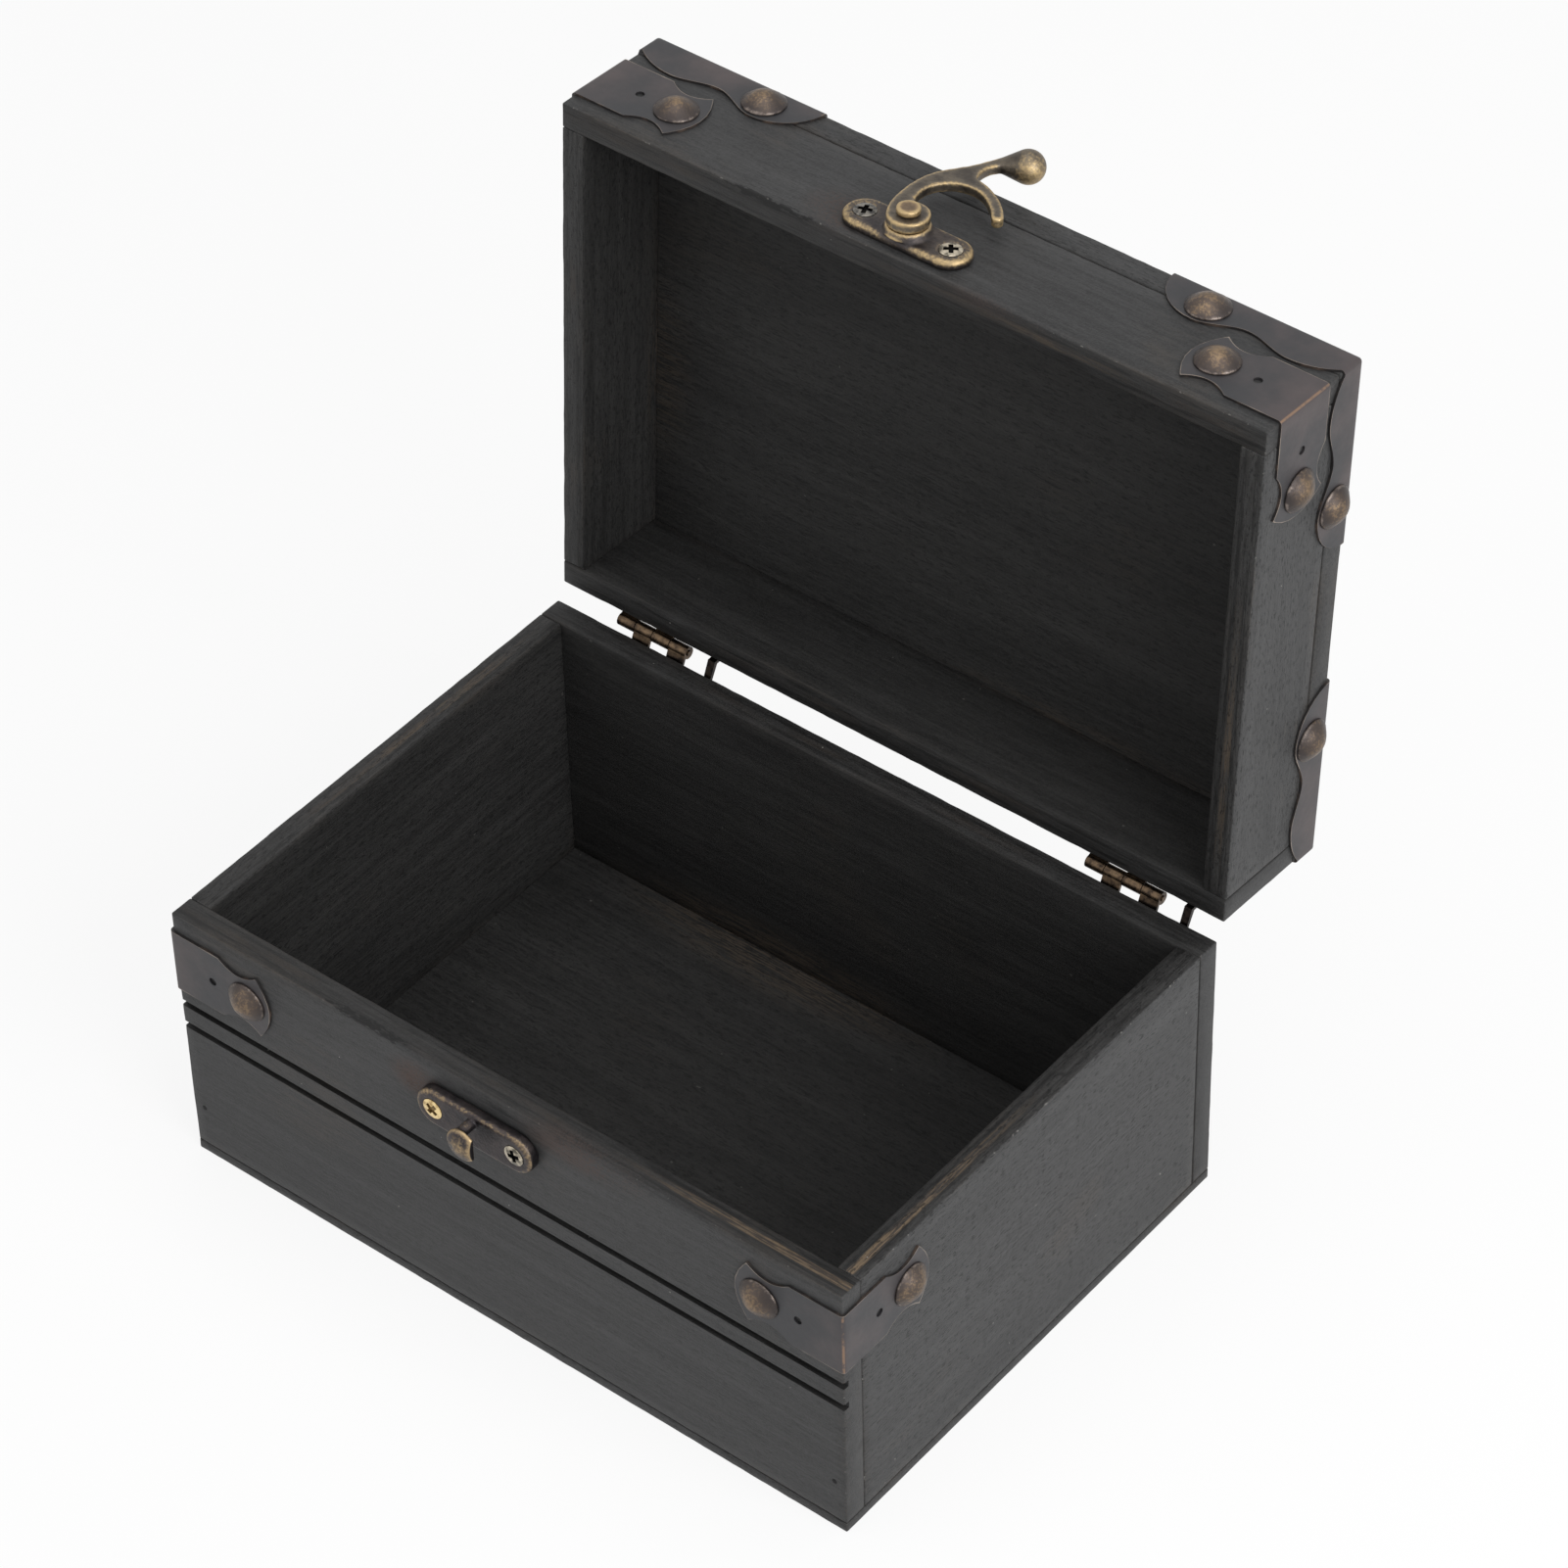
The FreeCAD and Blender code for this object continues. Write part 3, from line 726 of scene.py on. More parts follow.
def strap_leg_columns(side, leg, tall):
    """Columns from the fold to a leg's end: the spots, the fold mark and the end mark of each."""
    columns = []
    for i in range(1, STRAIGHT_STEPS + 1):
        along = FOLD_RADIUS + (STRAP_STRAIGHT - FOLD_RADIUS) * i / STRAIGHT_STEPS
        spots = upright_spots(leg_column(side, -1, leg, along), tall)
        columns.append((spots, math.exp(-along / FOLD_FADE), 0.0))
    for share in TAIL_SHARES:
        spots = []
        for row in STRAP_ROWS:
            along, height = tail_point(share, row, tall)
            spots.append((*leg_column(side, -1, leg, along), height))
        columns.append((spots, 0.0, TAIL_MARKS.get(share, 0.0)))
    return columns


def strap_columns(side, tall):
    """All columns, from the end of the long leg round the fold to the end of the short one."""
    turns = []
    for i in range(FOLD_STEPS + 1):
        spots = upright_spots(corner_column(side, -1, i / FOLD_STEPS), tall)
        turns.append((spots, crease(i), 0.0))
    return strap_leg_columns(side, "long", tall)[::-1] + turns + strap_leg_columns(side, "short", tall)


def strap_mesh(name, side, low, tall):
    points, fold, edge = [], [], []
    columns = strap_columns(side, tall)
    rows = len(STRAP_ROWS)
    for spots, fold_mark, end_mark in columns:
        for row, (spot, outward, height) in enumerate(spots):
            points.append(spot + outward * SEAT_GAP + Vector((0, 0, low + height)))
            fold.append(fold_mark)
            edge.append(max(end_mark, EDGE_MARKS.get(min(row, rows - 1 - row), 0.0)))
    faces = grid_faces(rows, len(columns), flip=side < 0)
    return mesh_from(name, points, faces, {"fold": fold, "edge": edge})


def seated(spot, outward):
    """The move from the origin to a spot, with +Z turned to an outward side."""
    return Matrix.Translation(spot) @ outward.to_track_quat("Z", "Y").to_matrix().to_4x4()


def plug(spot, outward, radius, depth):
    """A round bar through a spot, for cutting a hole."""
    shape = bmesh.new()
    bmesh.ops.create_cone(shape, cap_ends=True, segments=HOLE_SPOKES, radius1=radius, radius2=radius,
                          depth=depth, matrix=seated(spot, outward))
    return mesh_of(shape, "plug")


strap_seats = {}
for node in ("base_strap_left", "base_strap_right", "lid_strap_left", "lid_strap_right"):
    low, high = shut_box(node)
    side = -1 if node.endswith("left") else 1
    tall = high.z - low.z
    strap = add_piece(node, strap_mesh(node, side, low.z, tall), sheet_finishes)
    thicken(strap)
    half_way_up = Vector((0, 0, low.z + tall / 2))
    seats = strap_seats.setdefault(node.split("_")[0] + "_strap_studs", [])
    holes = []
    for leg in ("long", "short"):
        spot, outward = leg_column(side, -1, leg, STRAP_HOLE_AT)
        holes.append(plug(spot + half_way_up, outward, STRAP_HOLE_RADIUS, 4 * SHEET))
        spot, outward = leg_column(side, -1, leg, STRAP_STUD_AT)
        seats.append((spot + outward * SHEET + half_way_up, outward))
    carve(strap, holes)
    print(strap.name, "faces:", len(strap.data.polygons))

# %% [markdown]
# A guard caps each corner of the lid's top. Its edge waves from the corner over a lobe, a waist and a belly
# to a rounded tip, the same on the top as on the sides. Three plates could be joined at the folds, but one
# grid of columns has no seams: it goes round the corner, and each column climbs the side, turns over the
# lid's edge and runs inward on the top as far as the wave or the mitre lets it.

# %% Corner guards
GUARD_LEG = 45.3 * mm
GUARD_CORNER = 5.5 * mm
LOBE_AT, LOBE = 11.0 * mm, 9.6 * mm
WAIST_AT, WAIST = 22.0 * mm, 7.0 * mm
BELLY_AT, BELLY = 33.5 * mm, 10.9 * mm
GUARD_SIDE_STUD_AT = 33.0 * mm
GUARD_TOP_STUD_AT = 35.8 * mm
GUARD_STUD_INSET = 5.4 * mm
# Rows as shares of the way from the wavy edge to the fold.
WAVE_ROWS = (0.0, 0.035, 0.12, 0.3, 0.5, 0.7, 0.88)
WAVE_STEPS = 26
TIP_ANGLES = range(10, 81, 10)
TIP_BLUNT = 0.12 * mm
TIP_RIM = 0.2 * mm
WELD = 0.02 * mm
UP = Vector((0, 0, 1))


def fallen(crest, run, fall, away):
    """Height of an arc that leaves its crest level and has fallen by fall after run."""
    radius = (run ** 2 + fall ** 2) / (2 * fall)
    return crest - radius + math.sqrt(max(0.0, radius ** 2 - away ** 2))


def eased(share):
    return share * share * (3 - 2 * share)


def wave(along):
    """How wide the guard is at a distance along from the corner."""
    if along < LOBE_AT:
        return fallen(LOBE, LOBE_AT, LOBE - GUARD_CORNER, LOBE_AT - along)
    if along < WAIST_AT:
        return LOBE + (WAIST - LOBE) * eased((along - LOBE_AT) / (WAIST_AT - LOBE_AT))
    if along < BELLY_AT:
        return WAIST + (BELLY - WAIST) * eased((along - WAIST_AT) / (BELLY_AT - WAIST_AT))
    return fallen(BELLY, GUARD_LEG - BELLY_AT, BELLY, along - BELLY_AT)


def guard_stops():
    """Distances from the corner, closer together where the tip rounds off."""
    even = [FOLD_RADIUS + (BELLY_AT - FOLD_RADIUS) * i / WAVE_STEPS for i in range(1, WAVE_STEPS + 1)]
    run = GUARD_LEG - BELLY_AT
    tip = [BELLY_AT + run * math.sin(math.radians(angle)) for angle in TIP_ANGLES]
    return even + tip + [GUARD_LEG - TIP_BLUNT]


def guard_column(spot, outward, along, inward_limit):
    """Points, fold and edge marks from the side's lower edge, over the fold, to the top's inner edge."""
    deep = wave(along)
    inner = min(deep, inward_limit)
    end_mark = 1.0 if along > GUARD_LEG - TIP_RIM else 0.0
    side_marks = [max(end_mark, EDGE_MARKS.get(row, 0.0)) for row in range(len(WAVE_ROWS))]
    top_marks = side_marks if inner == deep else [end_mark] * len(WAVE_ROWS)
    column = []
    for share, edge in zip(WAVE_ROWS, side_marks):
        drop = deep + (FOLD_RADIUS - deep) * share
        place = spot + outward * SEAT_GAP + UP * (lid_top - drop)
        column.append((place, math.exp(-drop / FOLD_FADE), edge))
    reach = FOLD_RADIUS + SEAT_GAP
    middle = spot - outward * FOLD_RADIUS + UP * (lid_top - FOLD_RADIUS)
    for i in range(FOLD_STEPS + 1):
        angle = i / FOLD_STEPS * math.pi / 2
        over = outward * reach * math.cos(angle) + UP * reach * math.sin(angle)
        column.append((middle + over, FOLD_SIDE, end_mark))
    for share, edge in reversed(list(zip(WAVE_ROWS, top_marks))):
        distance = inner + (FOLD_RADIUS - inner) * share
        place = spot - outward * distance + UP * (lid_top + SEAT_GAP)
        column.append((place, math.exp(-distance / FOLD_FADE), edge))
    return column


def guard_leg_columns(side, face, leg):
    return [guard_column(*leg_column(side, face, leg, along), along, along) for along in guard_stops()]


def guard_fold_columns(side, face):
    """The columns in the fold, with one fold mark all the way up."""
    columns = []
    for i in range(FOLD_STEPS + 1):
        column = guard_column(*corner_column(side, face, i / FOLD_STEPS), FOLD_RADIUS, FOLD_RADIUS)
        columns.append([(place, FOLD_SIDE, edge) for place, _, edge in column])
    return columns


def welded(mesh, distance):
    """Join the points that meet on the mitre."""
    shape = bmesh.new()
    shape.from_mesh(mesh)
    bmesh.ops.remove_doubles(shape, verts=shape.verts, dist=distance)
    bmesh.ops.dissolve_degenerate(shape, edges=shape.edges, dist=distance / 10)
    shape.to_mesh(mesh)
    shape.free()


def guard_mesh(name, side, face):
    long_leg = guard_leg_columns(side, face, "long")
    short_leg = guard_leg_columns(side, face, "short")
    columns = long_leg[::-1] + guard_fold_columns(side, face) + short_leg
    entries = [entry for column in columns for entry in column]
    points = [place for place, _, _ in entries]
    marks = {"fold": [fold for _, fold, _ in entries], "edge": [edge for _, _, edge in entries]}
    faces = grid_faces(len(columns[0]), len(columns), flip=side * face > 0)
    mesh = mesh_from(name, points, faces, marks)
    welded(mesh, WELD)
    return mesh


guard_seats = []
for end, face in (("front", -1), ("back", 1)):
    for name, side in (("left", -1), ("right", 1)):
        node = f"lid_guard_{end}_{name}"
        guard = add_piece(node, guard_mesh(node, side, face), sheet_finishes)
        thicken(guard)
        for leg in ("long", "short"):
            spot, outward = leg_column(side, face, leg, GUARD_SIDE_STUD_AT)
            guard_seats.append((spot + outward * SHEET + UP * (lid_top - GUARD_STUD_INSET), outward))
            spot, outward = leg_column(side, face, leg, GUARD_TOP_STUD_AT)
            guard_seats.append((spot - outward * GUARD_STUD_INSET + UP * (lid_top + SHEET), UP))
        print(guard.name, "faces:", len(guard.data.polygons))

# %% [markdown]
# The studs are domed upholstery nails in an antique bronze: brown in general, gold where hands have rubbed
# the crown, and paler round the rim, which is a painted highlight. One colour would look like plastic, so
# noise at three sizes breaks it up. The mesh paints a value, crown, which grows from 0 at the rim to 1 in
# the middle and places both the wear and the painted highlight.

# %% Antique bronze for the studs
STUD_DARK = rgb(0.048, 0.040, 0.038)
STUD_BROWN = rgb(0.088, 0.068, 0.057)
STUD_GOLD = rgb(0.40, 0.27, 0.145)
# A paler ring round each dome's rim: a painted highlight.
STUD_RIM_HIGHLIGHT = rgb(0.20, 0.165, 0.145)


def antique_bronze():
    bronze, drawn, fill = new_finish("antique_bronze")
    crown = mark(drawn, "crown")
    blotches = grain(drawn, 170.0, detail=2.0)
    patches = grain(drawn, 420.0, detail=6.0, roughness=0.7)
    specks = grain(drawn, 1700.0, detail=3.0)
    colour = blend(STUD_DARK, STUD_BROWN, step(crown * 0.7 + blotches * 0.9, 0.36, 0.86))
    gilt = step(crown * 0.3 + blotches * 0.6 + patches * 0.35 + step(specks, 0.42, 0.62) * 0.16, 0.60, 0.98)
    colour = blend(colour, STUD_GOLD, gilt * 0.42)
    # Painted highlight: a paler ring round the rim.
    colour = blend(STUD_RIM_HIGHLIGHT, colour, step(crown * 2.0 + patches, 0.36, 0.6))
    fill(Base_Color=colour, Metallic=0.8, Roughness=0.34 + patches * 0.2,
         Normal=bump(patches + specks * 0.4, 0.45, 0.3 * mm))
    return bronze


stud_finish = antique_bronze()
print("stud finish:", stud_finish.name)

# %% [markdown]
# A stud's head is pressed into a dome and then hammered in. A cut sphere would be too perfect, so each dome
# is turned from a profile with a small rim, and noise dents it as a hammer would, differently at every
# seat.

# %% Domed studs
STUD_RADIUS = 4.9 * mm
# Radius and height in mm, from the rim to the crown.
STUD_PROFILE = ((4.75, 0.0), (4.9, 0.12), (4.9, 0.4), (4.72, 0.62), (4.3, 0.95), (3.7, 1.45), (3.0, 1.98),
                (2.2, 2.47), (1.4, 2.8), (0.7, 2.96))
STUD_CROWN = 3.0
STUD_SPOKES = 40
DENT = 0.09 * mm
DENT_SCALE = 1 / (2.2 * mm)


def turned_dome(points, faces, crowns, seat, outward):
    """Add one dome to the lists: a ring of points for each step of the profile, and the crown's middle."""
    first = len(points)
    turn = outward.to_track_quat("Z", "Y").to_matrix()

    def dented(spot, share):
        dent = DENT * share * (1 + noise.noise((seat + turn @ spot) * DENT_SCALE))
        points.append(seat + turn @ (spot - Vector((0, 0, dent))))
        crowns.append(share)

    for radius, height in STUD_PROFILE:
        for spoke in range(STUD_SPOKES):
            angle = 2 * math.pi * spoke / STUD_SPOKES
            dented(Vector((radius * math.cos(angle), radius * math.sin(angle), height)) * mm,
                   1 - radius * mm / STUD_RADIUS)
    dented(Vector((0, 0, STUD_CROWN)) * mm, 1.0)
    rings = [range(start, start + STUD_SPOKES) for start in range(first, len(points) - 1, STUD_SPOKES)]
    for lower, upper in zip(rings, rings[1:]):
        for s in range(STUD_SPOKES):
            after = (s + 1) % STUD_SPOKES
            faces.append((lower[s], lower[after], upper[after], upper[s]))
    last = rings[-1]
    faces.extend((last[s], last[(s + 1) % STUD_SPOKES], len(points) - 1) for s in range(STUD_SPOKES))
    faces.append(tuple(reversed(rings[0])))


for node, seats in {**strap_seats, "lid_guard_studs": guard_seats}.items():
    points, faces, crowns = [], [], []
    for seat, outward in seats:
        turned_dome(points, faces, crowns, seat, outward)
    mesh = mesh_from(node, points, faces, {"crown": crowns})
    mesh.transform(place_of[body_of_node(node)])
    add_piece(node, mesh, [stud_finish], shut=False)
    print(node, "domes:", len(seats))

# %% [markdown]
# The latch is a small zinc casting plated in antique brass: the flats are grey brown, and the rounded edges
# are rubbed to gold. The shader could look for edges with a Bevel node, but that works in Cycles alone,
# so the finish reads a value that the mesh paints, ridge. The bulb and the post's head get a rubbed spot of
# their own. On the strike plate, faces towards +X, such as the flat side of the post's head, are painted
# dark as shade.

# %% Antique brass for the latch
BRASS_GOLD = rgb(0.42, 0.31, 0.165)
COPPER_GOLD = rgb(0.35, 0.255, 0.145)
HEAD_THICK, HEAD_REACH = 1 * mm, 5 * mm
BULB_THICK, BULB_REACH = 6 * mm, 7 * mm
GILDING_RANGE = 0.5
FRONT, RIGHT = Vector((0, -1, 0)), Vector((1, 0, 0))


def antique_brass(name, dark, grey, gold, gilding, rubbed=None, painted_shade_on_x=False):
    """Plating from dark to grey, gold on its ridges and round a rubbed spot, and painted shade on +X if
    asked.
    """
    brass, drawn, fill = new_finish(name)
    ridge = mark(drawn, "ridge")
    clouds = grain(drawn, 260.0, detail=6.0, roughness=0.66)
    specks = step(grain(drawn, 1500.0, detail=3.0), 0.42, 0.62)
    worn = ridge * 1.3 + clouds * 0.5 + specks * 0.17
    if rubbed:
        spot, reach = rubbed
        worn = worn + near(drawn, spot, (reach,) * 3) * 0.32
    colour = blend(dark, grey, step(ridge * 0.6 + clouds, 0.36, 0.74))
    colour = blend(colour, gold, step(worn, gilding, gilding + GILDING_RANGE))
    if painted_shade_on_x:
        # Painted shade: faces towards +X, such as the flat side of the post's head, turn dark.
        colour = blend(colour, dark, step(facing(drawn, "X"), 0.80, 0.96))
    fill(Base_Color=colour, Metallic=0.88, Roughness=0.34 + clouds * 0.2 + specks * 0.06,
         Normal=bump(clouds + specks * 0.25, 0.4, 0.25 * mm))
    return brass


def far_end(node, way, depth):
    """The middle of the part of a node that lies furthest along a direction."""
    places = [vertex.co for vertex in nodes[node].data.vertices]
    furthest = max(place.dot(way) for place in places)
    end = [place for place in places if place.dot(way) > furthest - depth]
    return sum(end, Vector()) / len(end)


strike_head = far_end("strike_plate", FRONT, HEAD_THICK)
hook_bulb = far_end("latch_hook", RIGHT, BULB_THICK)
casting_finishes = {
    "latch_hook": antique_brass("hook_brass", rgb(0.062, 0.053, 0.045), rgb(0.140, 0.118, 0.092),
                                BRASS_GOLD, gilding=0.60, rubbed=(hook_bulb, BULB_REACH)),
    "latch_plate": antique_brass("plate_brass", rgb(0.034, 0.030, 0.031), rgb(0.085, 0.071, 0.063),
                                 BRASS_GOLD, gilding=0.51),
    "latch_rivet": antique_brass("rivet_brass", rgb(0.110, 0.080, 0.056), rgb(0.23, 0.160, 0.098),
                                 BRASS_GOLD, gilding=0.43),
    "strike_plate": antique_brass("strike_brass", rgb(0.028, 0.025, 0.027), rgb(0.060, 0.050, 0.049),
                                  COPPER_GOLD, gilding=0.66, rubbed=(strike_head, HEAD_REACH),
                                  painted_shade_on_x=True)}
print("casting finishes:", [finish.name for finish in casting_finishes.values()])

# %% [markdown]
# A casting has no sharp edge. A Bevel on the CAD solid's many small faces would tear, so a copy of the
# solid is remeshed in fine voxels and smoothed. The mesh then measures where it is convex and paints that
# as ridge, but not close to the wood, where no hand can rub.

# %% Castings made from the CAD solids
VOXEL = 0.16 * mm
SMOOTH_FACTOR = 0.5
SMOOTH_ROUNDS = 34
RIDGE_ROUNDS = 44
RIDGE_GAIN = 13.0
SEAT_DARK = 0.5 * mm
SEAT_FADE = 0.8 * mm


def clamped(value):
    return min(1.0, max(0.0, value))


def ridges(mesh):
    """How convex the mesh is at each point, smoothed over its neighbours, from 0 to 1."""
    around = [[] for _ in mesh.vertices]
    for edge in mesh.edges:
        a, b = edge.vertices
        around[a].append(b)
        around[b].append(a)
    convex = []
    for vertex, others in zip(mesh.vertices, around):
        lean = [vertex.normal.dot((vertex.co - mesh.vertices[i].co).normalized()) for i in others]
        convex.append(sum(lean) / max(1, len(lean)))
    for _ in range(RIDGE_ROUNDS):
        convex = [0.5 * convex[i] + 0.5 * sum(convex[j] for j in others) / max(1, len(others))
                  for i, others in enumerate(around)]
    return [clamped(value * RIDGE_GAIN) for value in convex]


def off_wood(node, mesh):
    """0 on points by the wood that a casting is screwed to, 1 further out, where hands can reach."""
    back = to_shut(node)
    lifts = [-half_depth - (back @ vertex.co).y for vertex in mesh.vertices]
    return [clamped((lift - SEAT_DARK) / SEAT_FADE) for lift in lifts]


def add_casting(node, finish):
    mesh = nodes[node].data.copy()
    mesh.materials.clear()
    piece = add_piece(node, mesh, [finish], shut=False)
    remesh = piece.modifiers.new("fine voxels", "REMESH")
    remesh.mode = "VOXEL"
    remesh.voxel_size = VOXEL
    remesh.use_smooth_shade = True
    soften = piece.modifiers.new("soft edges", "SMOOTH")
    soften.factor = SMOOTH_FACTOR
    soften.iterations = SMOOTH_ROUNDS
    settle(piece)
    worn = [ridge * share for ridge, share in zip(ridges(piece.data), off_wood(node, piece.data))]
    paint(piece.data, "ridge", worn)
    print(piece.name, "faces:", len(piece.data.polygons))


for node, finish in casting_finishes.items():
    add_casting(node, finish)

# %% [markdown]
# The screws differ in the photo: one is bright brass and the others are duller nickel or dark. The hinges
# are a dark bronze whose barrels are rubbed brown. These metals vary in the same way, from dark to bright
# in small patches, so one function makes them all.

# %% Screw, hinge and brad finishes
BARREL_REACH = 4.6 * mm
BARREL_SHARE = 1.1


def barrel_spot(pin):
    """The middle of a hinge's barrel, and a reach that fades out past its ends."""
    low, high = shut_box(pin)
    return (low + high) / 2, ((high.x - low.x) * BARREL_SHARE, BARREL_REACH, BARREL_REACH), 1.0


BARRELS = [barrel_spot(pin) for pin in ("hinge_left_pin", "hinge_right_pin")]


def worn_metal(name, dark, bright, roughness, rubbed=None):
    """Metal from dark to bright in small patches, with a third colour on the hinges' barrels if given."""
    metal, drawn, fill = new_finish(name)
    patches = grain(drawn, 700.0, detail=4.0, roughness=0.6)
    colour = blend(dark, bright, step(patches, 0.36, 0.6))
    if rubbed:
        barrel = step(near_any(drawn, BARRELS), 0.35, 0.75)
        colour = blend(colour, rubbed, barrel * step(patches, 0.20, 0.80))
    fill(Base_Color=colour, Metallic=1.0, Roughness=roughness + patches * 0.15,
         Normal=bump(patches, 0.2, 0.1 * mm))
    return metal


bright_brass = worn_metal("bright_brass", rgb(0.36, 0.24, 0.10), rgb(0.80, 0.62, 0.32), 0.22)
dull_nickel = worn_metal("dull_nickel", rgb(0.10, 0.09, 0.07), rgb(0.52, 0.46, 0.36), 0.25)
dark_nickel = worn_metal("dark_nickel", rgb(0.03, 0.03, 0.031), rgb(0.22, 0.205, 0.18), 0.28)
hinge_metal = worn_metal("hinge_bronze", rgb(0.012, 0.010, 0.010), rgb(0.030, 0.023, 0.019), 0.28,
                         rubbed=rgb(0.14, 0.095, 0.058))
# Painted shade: a darker brass for the shade in the bright screw's cross.
brass_painted_recess_shade = worn_metal("brass_painted_recess_shade", rgb(0.09, 0.060, 0.026), rgb(0.34, 0.24, 0.11), 0.4)
# Painted shade: near black for the shade in the screws' crosses and on the heads' upright sides.
painted_recess_shade = worn_metal("painted_recess_shade", rgb(0.004, 0.004, 0.004), rgb(0.012, 0.011, 0.010), 0.6)
brad_black = worn_metal("brad_black", rgb(0.008, 0.008, 0.008), rgb(0.02, 0.02, 0.02), 0.5)
print("barrels rubbed at x in mm:", [round(spot.x / mm, 1) for spot, _, _ in BARRELS])

# %% [markdown]
# The screws are small and countersunk, with a cross in a low domed head. A cross drawn by the shader would
# stay flat, so two bars are cut out of one head with a Boolean. Copies of that head go where the CAD's
# screws sit, each with a twist of its own, because no two screws stop at the same angle.

# %% Cross-head screws
SCREW_RADIUS = 2.5 * mm
SCREW_DOME = 0.25 * mm
HINGE_SCREW_RADIUS = 1.6 * mm
HEAD_RINGS = ((0.72, -2.8), (1.0, -0.55), (1.0, -0.04), (0.96, 0.1), (0.8, 0.42), (0.5, 0.8), (0.2, 0.97))
HEAD_SPOKES = 40
HEAD_CREASE = math.radians(35)
CROSS_REACH = 0.62
CROSS_WIDTH = 0.4
CROSS_DEPTH = 0.24
UPRIGHT_WALL = 0.1
SAME_POINT = 0.001 * mm
BACK = Vector((0, 1, 0))


def screw_head(radius, dome):
    """A low dome on a short cone, outward along +Z. Its rings are shares of the radius and of the dome."""
    shape = bmesh.new()
    rings = []
    for share, height in HEAD_RINGS:
        ring = []
        for s in range(HEAD_SPOKES):
            angle = 2 * math.pi * s / HEAD_SPOKES
            spot = (radius * share * math.cos(angle), radius * share * math.sin(angle), height * dome)
            ring.append(shape.verts.new(spot))
        rings.append(ring)
    for lower, upper in zip(rings, rings[1:]):
        for s in range(HEAD_SPOKES):
            after = (s + 1) % HEAD_SPOKES
            shape.faces.new((lower[s], lower[after], upper[after], upper[s]))
    shape.faces.new(rings[-1])
    shape.faces.new(reversed(rings[0]))
    return mesh_of(shape, "head")


def cross_cutters(radius, dome):
    """Two bars that cross in the middle of a head and are sunk in it."""
    reach, half, depth = radius * CROSS_REACH, radius * CROSS_WIDTH / 2, radius * CROSS_DEPTH
    cutters = []
    for size_x, size_y in ((reach, half), (half, reach)):
        low = Vector((-size_x, -size_y, dome - depth))
        high = Vector((size_x, size_y, dome + depth))
        cutters.append(bar(low, high))
    return cutters


def crossed_head(radius, dome):
    """A head with its cross cut. The cross's floor and all upright walls take the second finish, a painted
    shade.
    """
    block = add_object("head", screw_head(radius, dome))
    carve(block, cross_cutters(radius, dome))
    done = block.data
    bpy.data.objects.remove(block)
    for polygon in done.polygons:
        sunk = polygon.center.z < 0 and polygon.center.xy.length < radius * CROSS_REACH
        polygon.material_index = 1 if sunk or abs(polygon.normal.z) < UPRIGHT_WALL else 0
    return done


def seated_heads(name, head, seats):
    """One mesh with a head at each seat. It takes a finish for each head, then one for each cross."""
    shape = bmesh.new()
    for index, (seat, outward, twist) in enumerate(seats):
        copy = head.copy()
        copy.transform(seated(seat, outward) @ Matrix.Rotation(math.radians(twist), 4, "Z"))
        start = len(shape.faces)
        shape.from_mesh(copy)
        shape.faces.ensure_lookup_table()
        for face in shape.faces[start:]:
            face.material_index = index + len(seats) * face.material_index
            face.smooth = True
        bpy.data.meshes.remove(copy)
    mesh = mesh_of(shape, name)
    mesh.set_sharp_from_angle(angle=HEAD_CREASE)
    return mesh


def loose_parts(shape):
    """The sets of points of a shape that hang together."""
    parts, left = [], set(shape.verts)
    while left:
        part, todo = set(), [next(iter(left))]
        while todo:
            vertex = todo.pop()
            if vertex not in part:
                part.add(vertex)
                todo.extend(edge.other_vert(vertex) for edge in vertex.link_edges)
        left -= part
        parts.append(part)
    return parts


def node_seats(node, outward, twists):
    """Where the CAD's screws sit, the middle of each loose part's outer end, with a twist for each."""
    shape = bmesh.new()
    shape.from_mesh(nodes[node].data)
    shape.transform(to_shut(node))
    bmesh.ops.remove_doubles(shape, verts=shape.verts, dist=SAME_POINT)
    seats = []
    for part in loose_parts(shape):
        low, high = box_of([vertex.co for vertex in part])
        seat = (low + high) / 2
        seat.y = high.y if outward.y > 0 else low.y
        seats.append(seat)
    shape.free()
    seats.sort(key=lambda seat: (round(seat.x / mm), round(seat.z / mm)))
    return [(seat, outward, twist) for seat, twist in zip(seats, twists)]


latch_head = crossed_head(SCREW_RADIUS, SCREW_DOME)
hinge_head = crossed_head(HINGE_SCREW_RADIUS, SCREW_DOME / 2)
hinge_screw_metals = (hinge_metal,) * 4 + (painted_recess_shade,) * 4
# Node, head, outward side, twists in degrees, then the finishes of the heads and of their crosses. The
# crosses' finishes are painted shade.
SCREWS = (
    ("latch_screws", latch_head, FRONT, (20, 38), (dark_nickel, dull_nickel, painted_recess_shade, painted_recess_shade)),
    ("strike_screws", latch_head, FRONT, (52, 15), (bright_brass, dull_nickel, brass_painted_recess_shade, painted_recess_shade)),
    ("hinge_lid_screws", hinge_head, BACK, (10, 55, 31, 72), hinge_screw_metals),
    ("hinge_base_screws", hinge_head, BACK, (64, 22, 40, 5), hinge_screw_metals))
for node, head, outward, twists, metals in SCREWS:
    seats = node_seats(node, outward, twists)
    add_piece(node, seated_heads(node, head, seats), metals)
    print(node, "heads:", len(seats))

# %% [markdown]
# The hinge leaves, their barrels and pins keep their CAD shapes, which are right. They only get the rubbed
# bronze and a narrow Bevel, so that their edges catch the light.

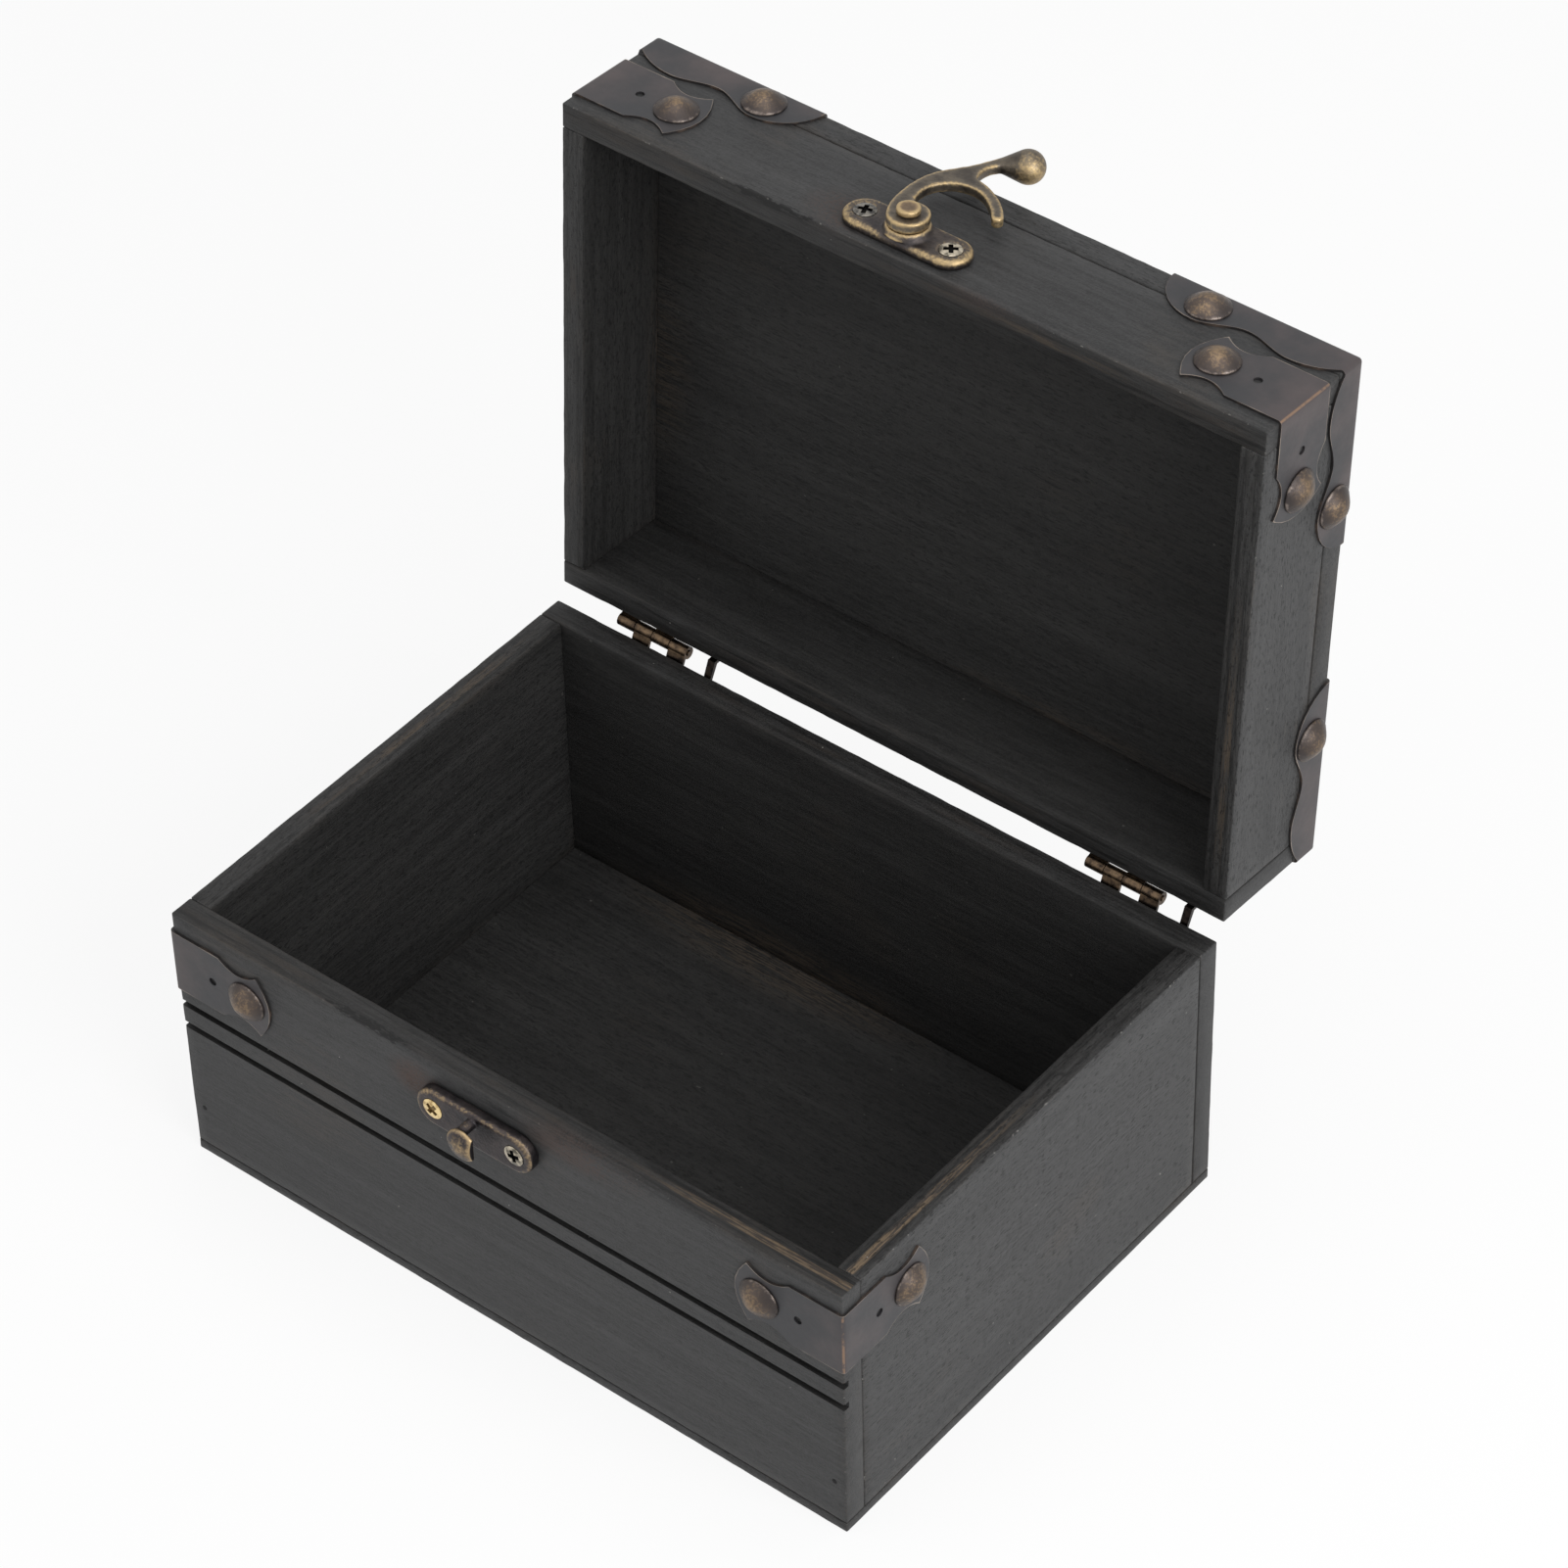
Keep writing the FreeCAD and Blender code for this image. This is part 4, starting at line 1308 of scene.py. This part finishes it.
# %% Hinges
HINGE_BEVEL = 0.1 * mm
BEVEL_STEPS = 2
HINGE_CREASE = math.radians(50)
hinge_parts = [node for node in sorted(nodes) if node.startswith("hinge_") and "screws" not in node]
for node in hinge_parts:
    part = nodes[node]
    part.data.materials.clear()
    part.data.materials.append(hinge_metal)
    soft = part.modifiers.new("soft edges", "BEVEL")
    soft.width = HINGE_BEVEL
    soft.segments = BEVEL_STEPS
    soft.limit_method = "ANGLE"
    soft.angle_limit = HINGE_CREASE
print("hinge parts:", hinge_parts)

# %% [markdown]
# Brads hold the front and back panels to the sides. They are sunk flush and stained over, so each is only a
# low dark dot on the wood.

# %% Brads
BRAD_RADIUS = 0.7 * mm
BRAD_SPOKES = 20
BRAD_TAPER = 0.8
BRAD_STAND = 0.03 * mm
BRAD_INSET = 3 * mm
BRAD_HEIGHTS = {"base_brads": (50 * mm, 14 * mm), "lid_brads": (83.7 * mm,)}


def brad_dots(name, seats):
    shape = bmesh.new()
    for seat, outward in seats:
        bmesh.ops.create_cone(shape, cap_ends=True, segments=BRAD_SPOKES, radius1=BRAD_RADIUS,
                              radius2=BRAD_RADIUS * BRAD_TAPER, depth=2 * BRAD_STAND,
                              matrix=seated(seat, outward))
    return mesh_of(shape, name)


for node, heights in BRAD_HEIGHTS.items():
    seats = []
    for side in (-1, 1):
        for outward in (FRONT, BACK):
            for height in heights:
                x = side * (half_width - BRAD_INSET)
                seats.append((Vector((x, outward.y * half_depth, height)), outward))
    add_piece(node, brad_dots(node, seats), [brad_black])
    print(node, "dots:", len(seats))

# %% [markdown]
# The studio is a wide pale floor and a white surround. The surround is white to the camera and to
# reflections, but lights the object only a little, so that the lamps shape it. A brighter surround would
# flatten the box.

# %% Floor and surround
WHITE = rgb(1, 1, 1)
FLOOR_GREY = rgb(0.92, 0.92, 0.92)
FLOOR_SHARE = 0.86
FLOOR_RADIUS = 4.0
FLOOR_SPOKES = 96
AMBIENT = 0.36


def ray_mask(field):
    """1 for the camera's own rays and for reflections, 0 for light that falls on the object."""
    seen = field.make("ShaderNodeLightPath", {}, output="Is Camera Ray")
    for kind in ("Is Glossy Ray", "Is Transmission Ray"):
        seen = field.math("MAXIMUM", seen, field.make("ShaderNodeLightPath", {}, output=kind))
    return seen


def white_surround():
    world = bpy.data.worlds.new("studio")
    world.use_nodes = True
    bpy.context.scene.world = world
    tree = world.node_tree
    start = Field(tree)
    low = start.make("ShaderNodeBackground", {"Color": WHITE, "Strength": AMBIENT})
    white = start.make("ShaderNodeBackground", {"Color": WHITE, "Strength": 1.0})
    mixed = start.make("ShaderNodeMixShader", {0: ray_mask(start), 1: low, 2: white})
    feed(tree, tree.nodes["World Output"].inputs["Surface"], mixed)


def pale_floor():
    """A disc that is mostly white to the camera, and matt for the rest, so that it keeps the box's shadow."""
    material, drawn, _ = new_finish("pale_floor")
    tree = material.node_tree
    matt = drawn.make("ShaderNodeBsdfDiffuse", {"Color": FLOOR_GREY})
    glow = drawn.make("ShaderNodeEmission", {"Color": WHITE, "Strength": 1.0})
    mixed = drawn.make("ShaderNodeMixShader", {0: ray_mask(drawn) * FLOOR_SHARE, 1: matt, 2: glow})
    feed(tree, tree.nodes["Material Output"].inputs["Surface"], mixed)
    shape = bmesh.new()
    bmesh.ops.create_circle(shape, cap_ends=True, segments=FLOOR_SPOKES, radius=FLOOR_RADIUS)
    floor = add_object("floor", mesh_of(shape, "floor"))
    floor.data.materials.append(material)


white_surround()
pale_floor()
print("surround strength:", AMBIENT, "floor radius in m:", FLOOR_RADIUS)

# %% [markdown]
# Three large area lamps light the box: a key from the right, as in the photo, a weak fill from the front
# left and one overhead. Large lamps give the soft edges to the shadows that small ones can't.

# %% Lamps
# Name, place and size in metres, and power in watts.
LAMPS = (
    ("key_right", (1.2, -0.22, 0.8), 1.0, 15.6),
    ("fill_front", (-0.7, -1.2, 0.9), 1.2, 3.4),
    ("overhead", (0.0, 0.1, 1.5), 1.2, 6.4))
AIM = Vector((0, 0.03, 0.08))
for name, spot, size, power in LAMPS:
    lamp = bpy.data.lights.new(name, "AREA")
    lamp.size = size
    lamp.energy = power
    holder = add_object(name, lamp)
    holder.location = spot
    holder.rotation_mode = "QUATERNION"
    holder.rotation_quaternion = (AIM - Vector(spot)).to_track_quat("-Z", "Y")
print("lamps:", [name for name, *_ in LAMPS])

# %% [markdown]
# The camera stands where the photo was taken from: to the right of the front, well above, with a long lens.
# Its place was worked out from the box's corners, and is kept as angles, a distance and a point that it
# looks at.

# %% Camera
AZIMUTH, ELEVATION, ROLL = 39.7335, 42.6395, -1.6457
DISTANCE = 1276.96 * mm
LOOK_BASE = Vector((0, 30, 60)) * mm
LOOK_RIGHT, LOOK_UP = 0.47 * mm, 21.892 * mm
LENS = 137.195
SENSOR_WIDTH = 36.0
CLIP_START = 0.05


def add_camera():
    """Add the camera, and give its place."""
    azimuth, elevation, roll = (math.radians(v) for v in (AZIMUTH, ELEVATION, ROLL))
    back = Vector((math.sin(azimuth) * math.cos(elevation), -math.cos(azimuth) * math.cos(elevation),
                   math.sin(elevation)))
    level = Vector((math.cos(azimuth), math.sin(azimuth), 0))
    upright = back.cross(level)
    right = level * math.cos(roll) + upright * math.sin(roll)
    up = upright * math.cos(roll) - level * math.sin(roll)
    spot = LOOK_BASE + right * LOOK_RIGHT + up * LOOK_UP + back * DISTANCE
    lens = bpy.data.cameras.new("camera")
    lens.lens = LENS
    lens.sensor_width = SENSOR_WIDTH
    lens.clip_start = CLIP_START
    camera = add_object("camera", lens)
    camera.matrix_world = Matrix.Translation(spot) @ Matrix((right, up, back)).transposed().to_4x4()
    bpy.context.scene.camera = camera
    return spot


print("camera at", [round(v, 3) for v in add_camera()])
bpy.context.scene.view_settings.view_transform = "Standard"
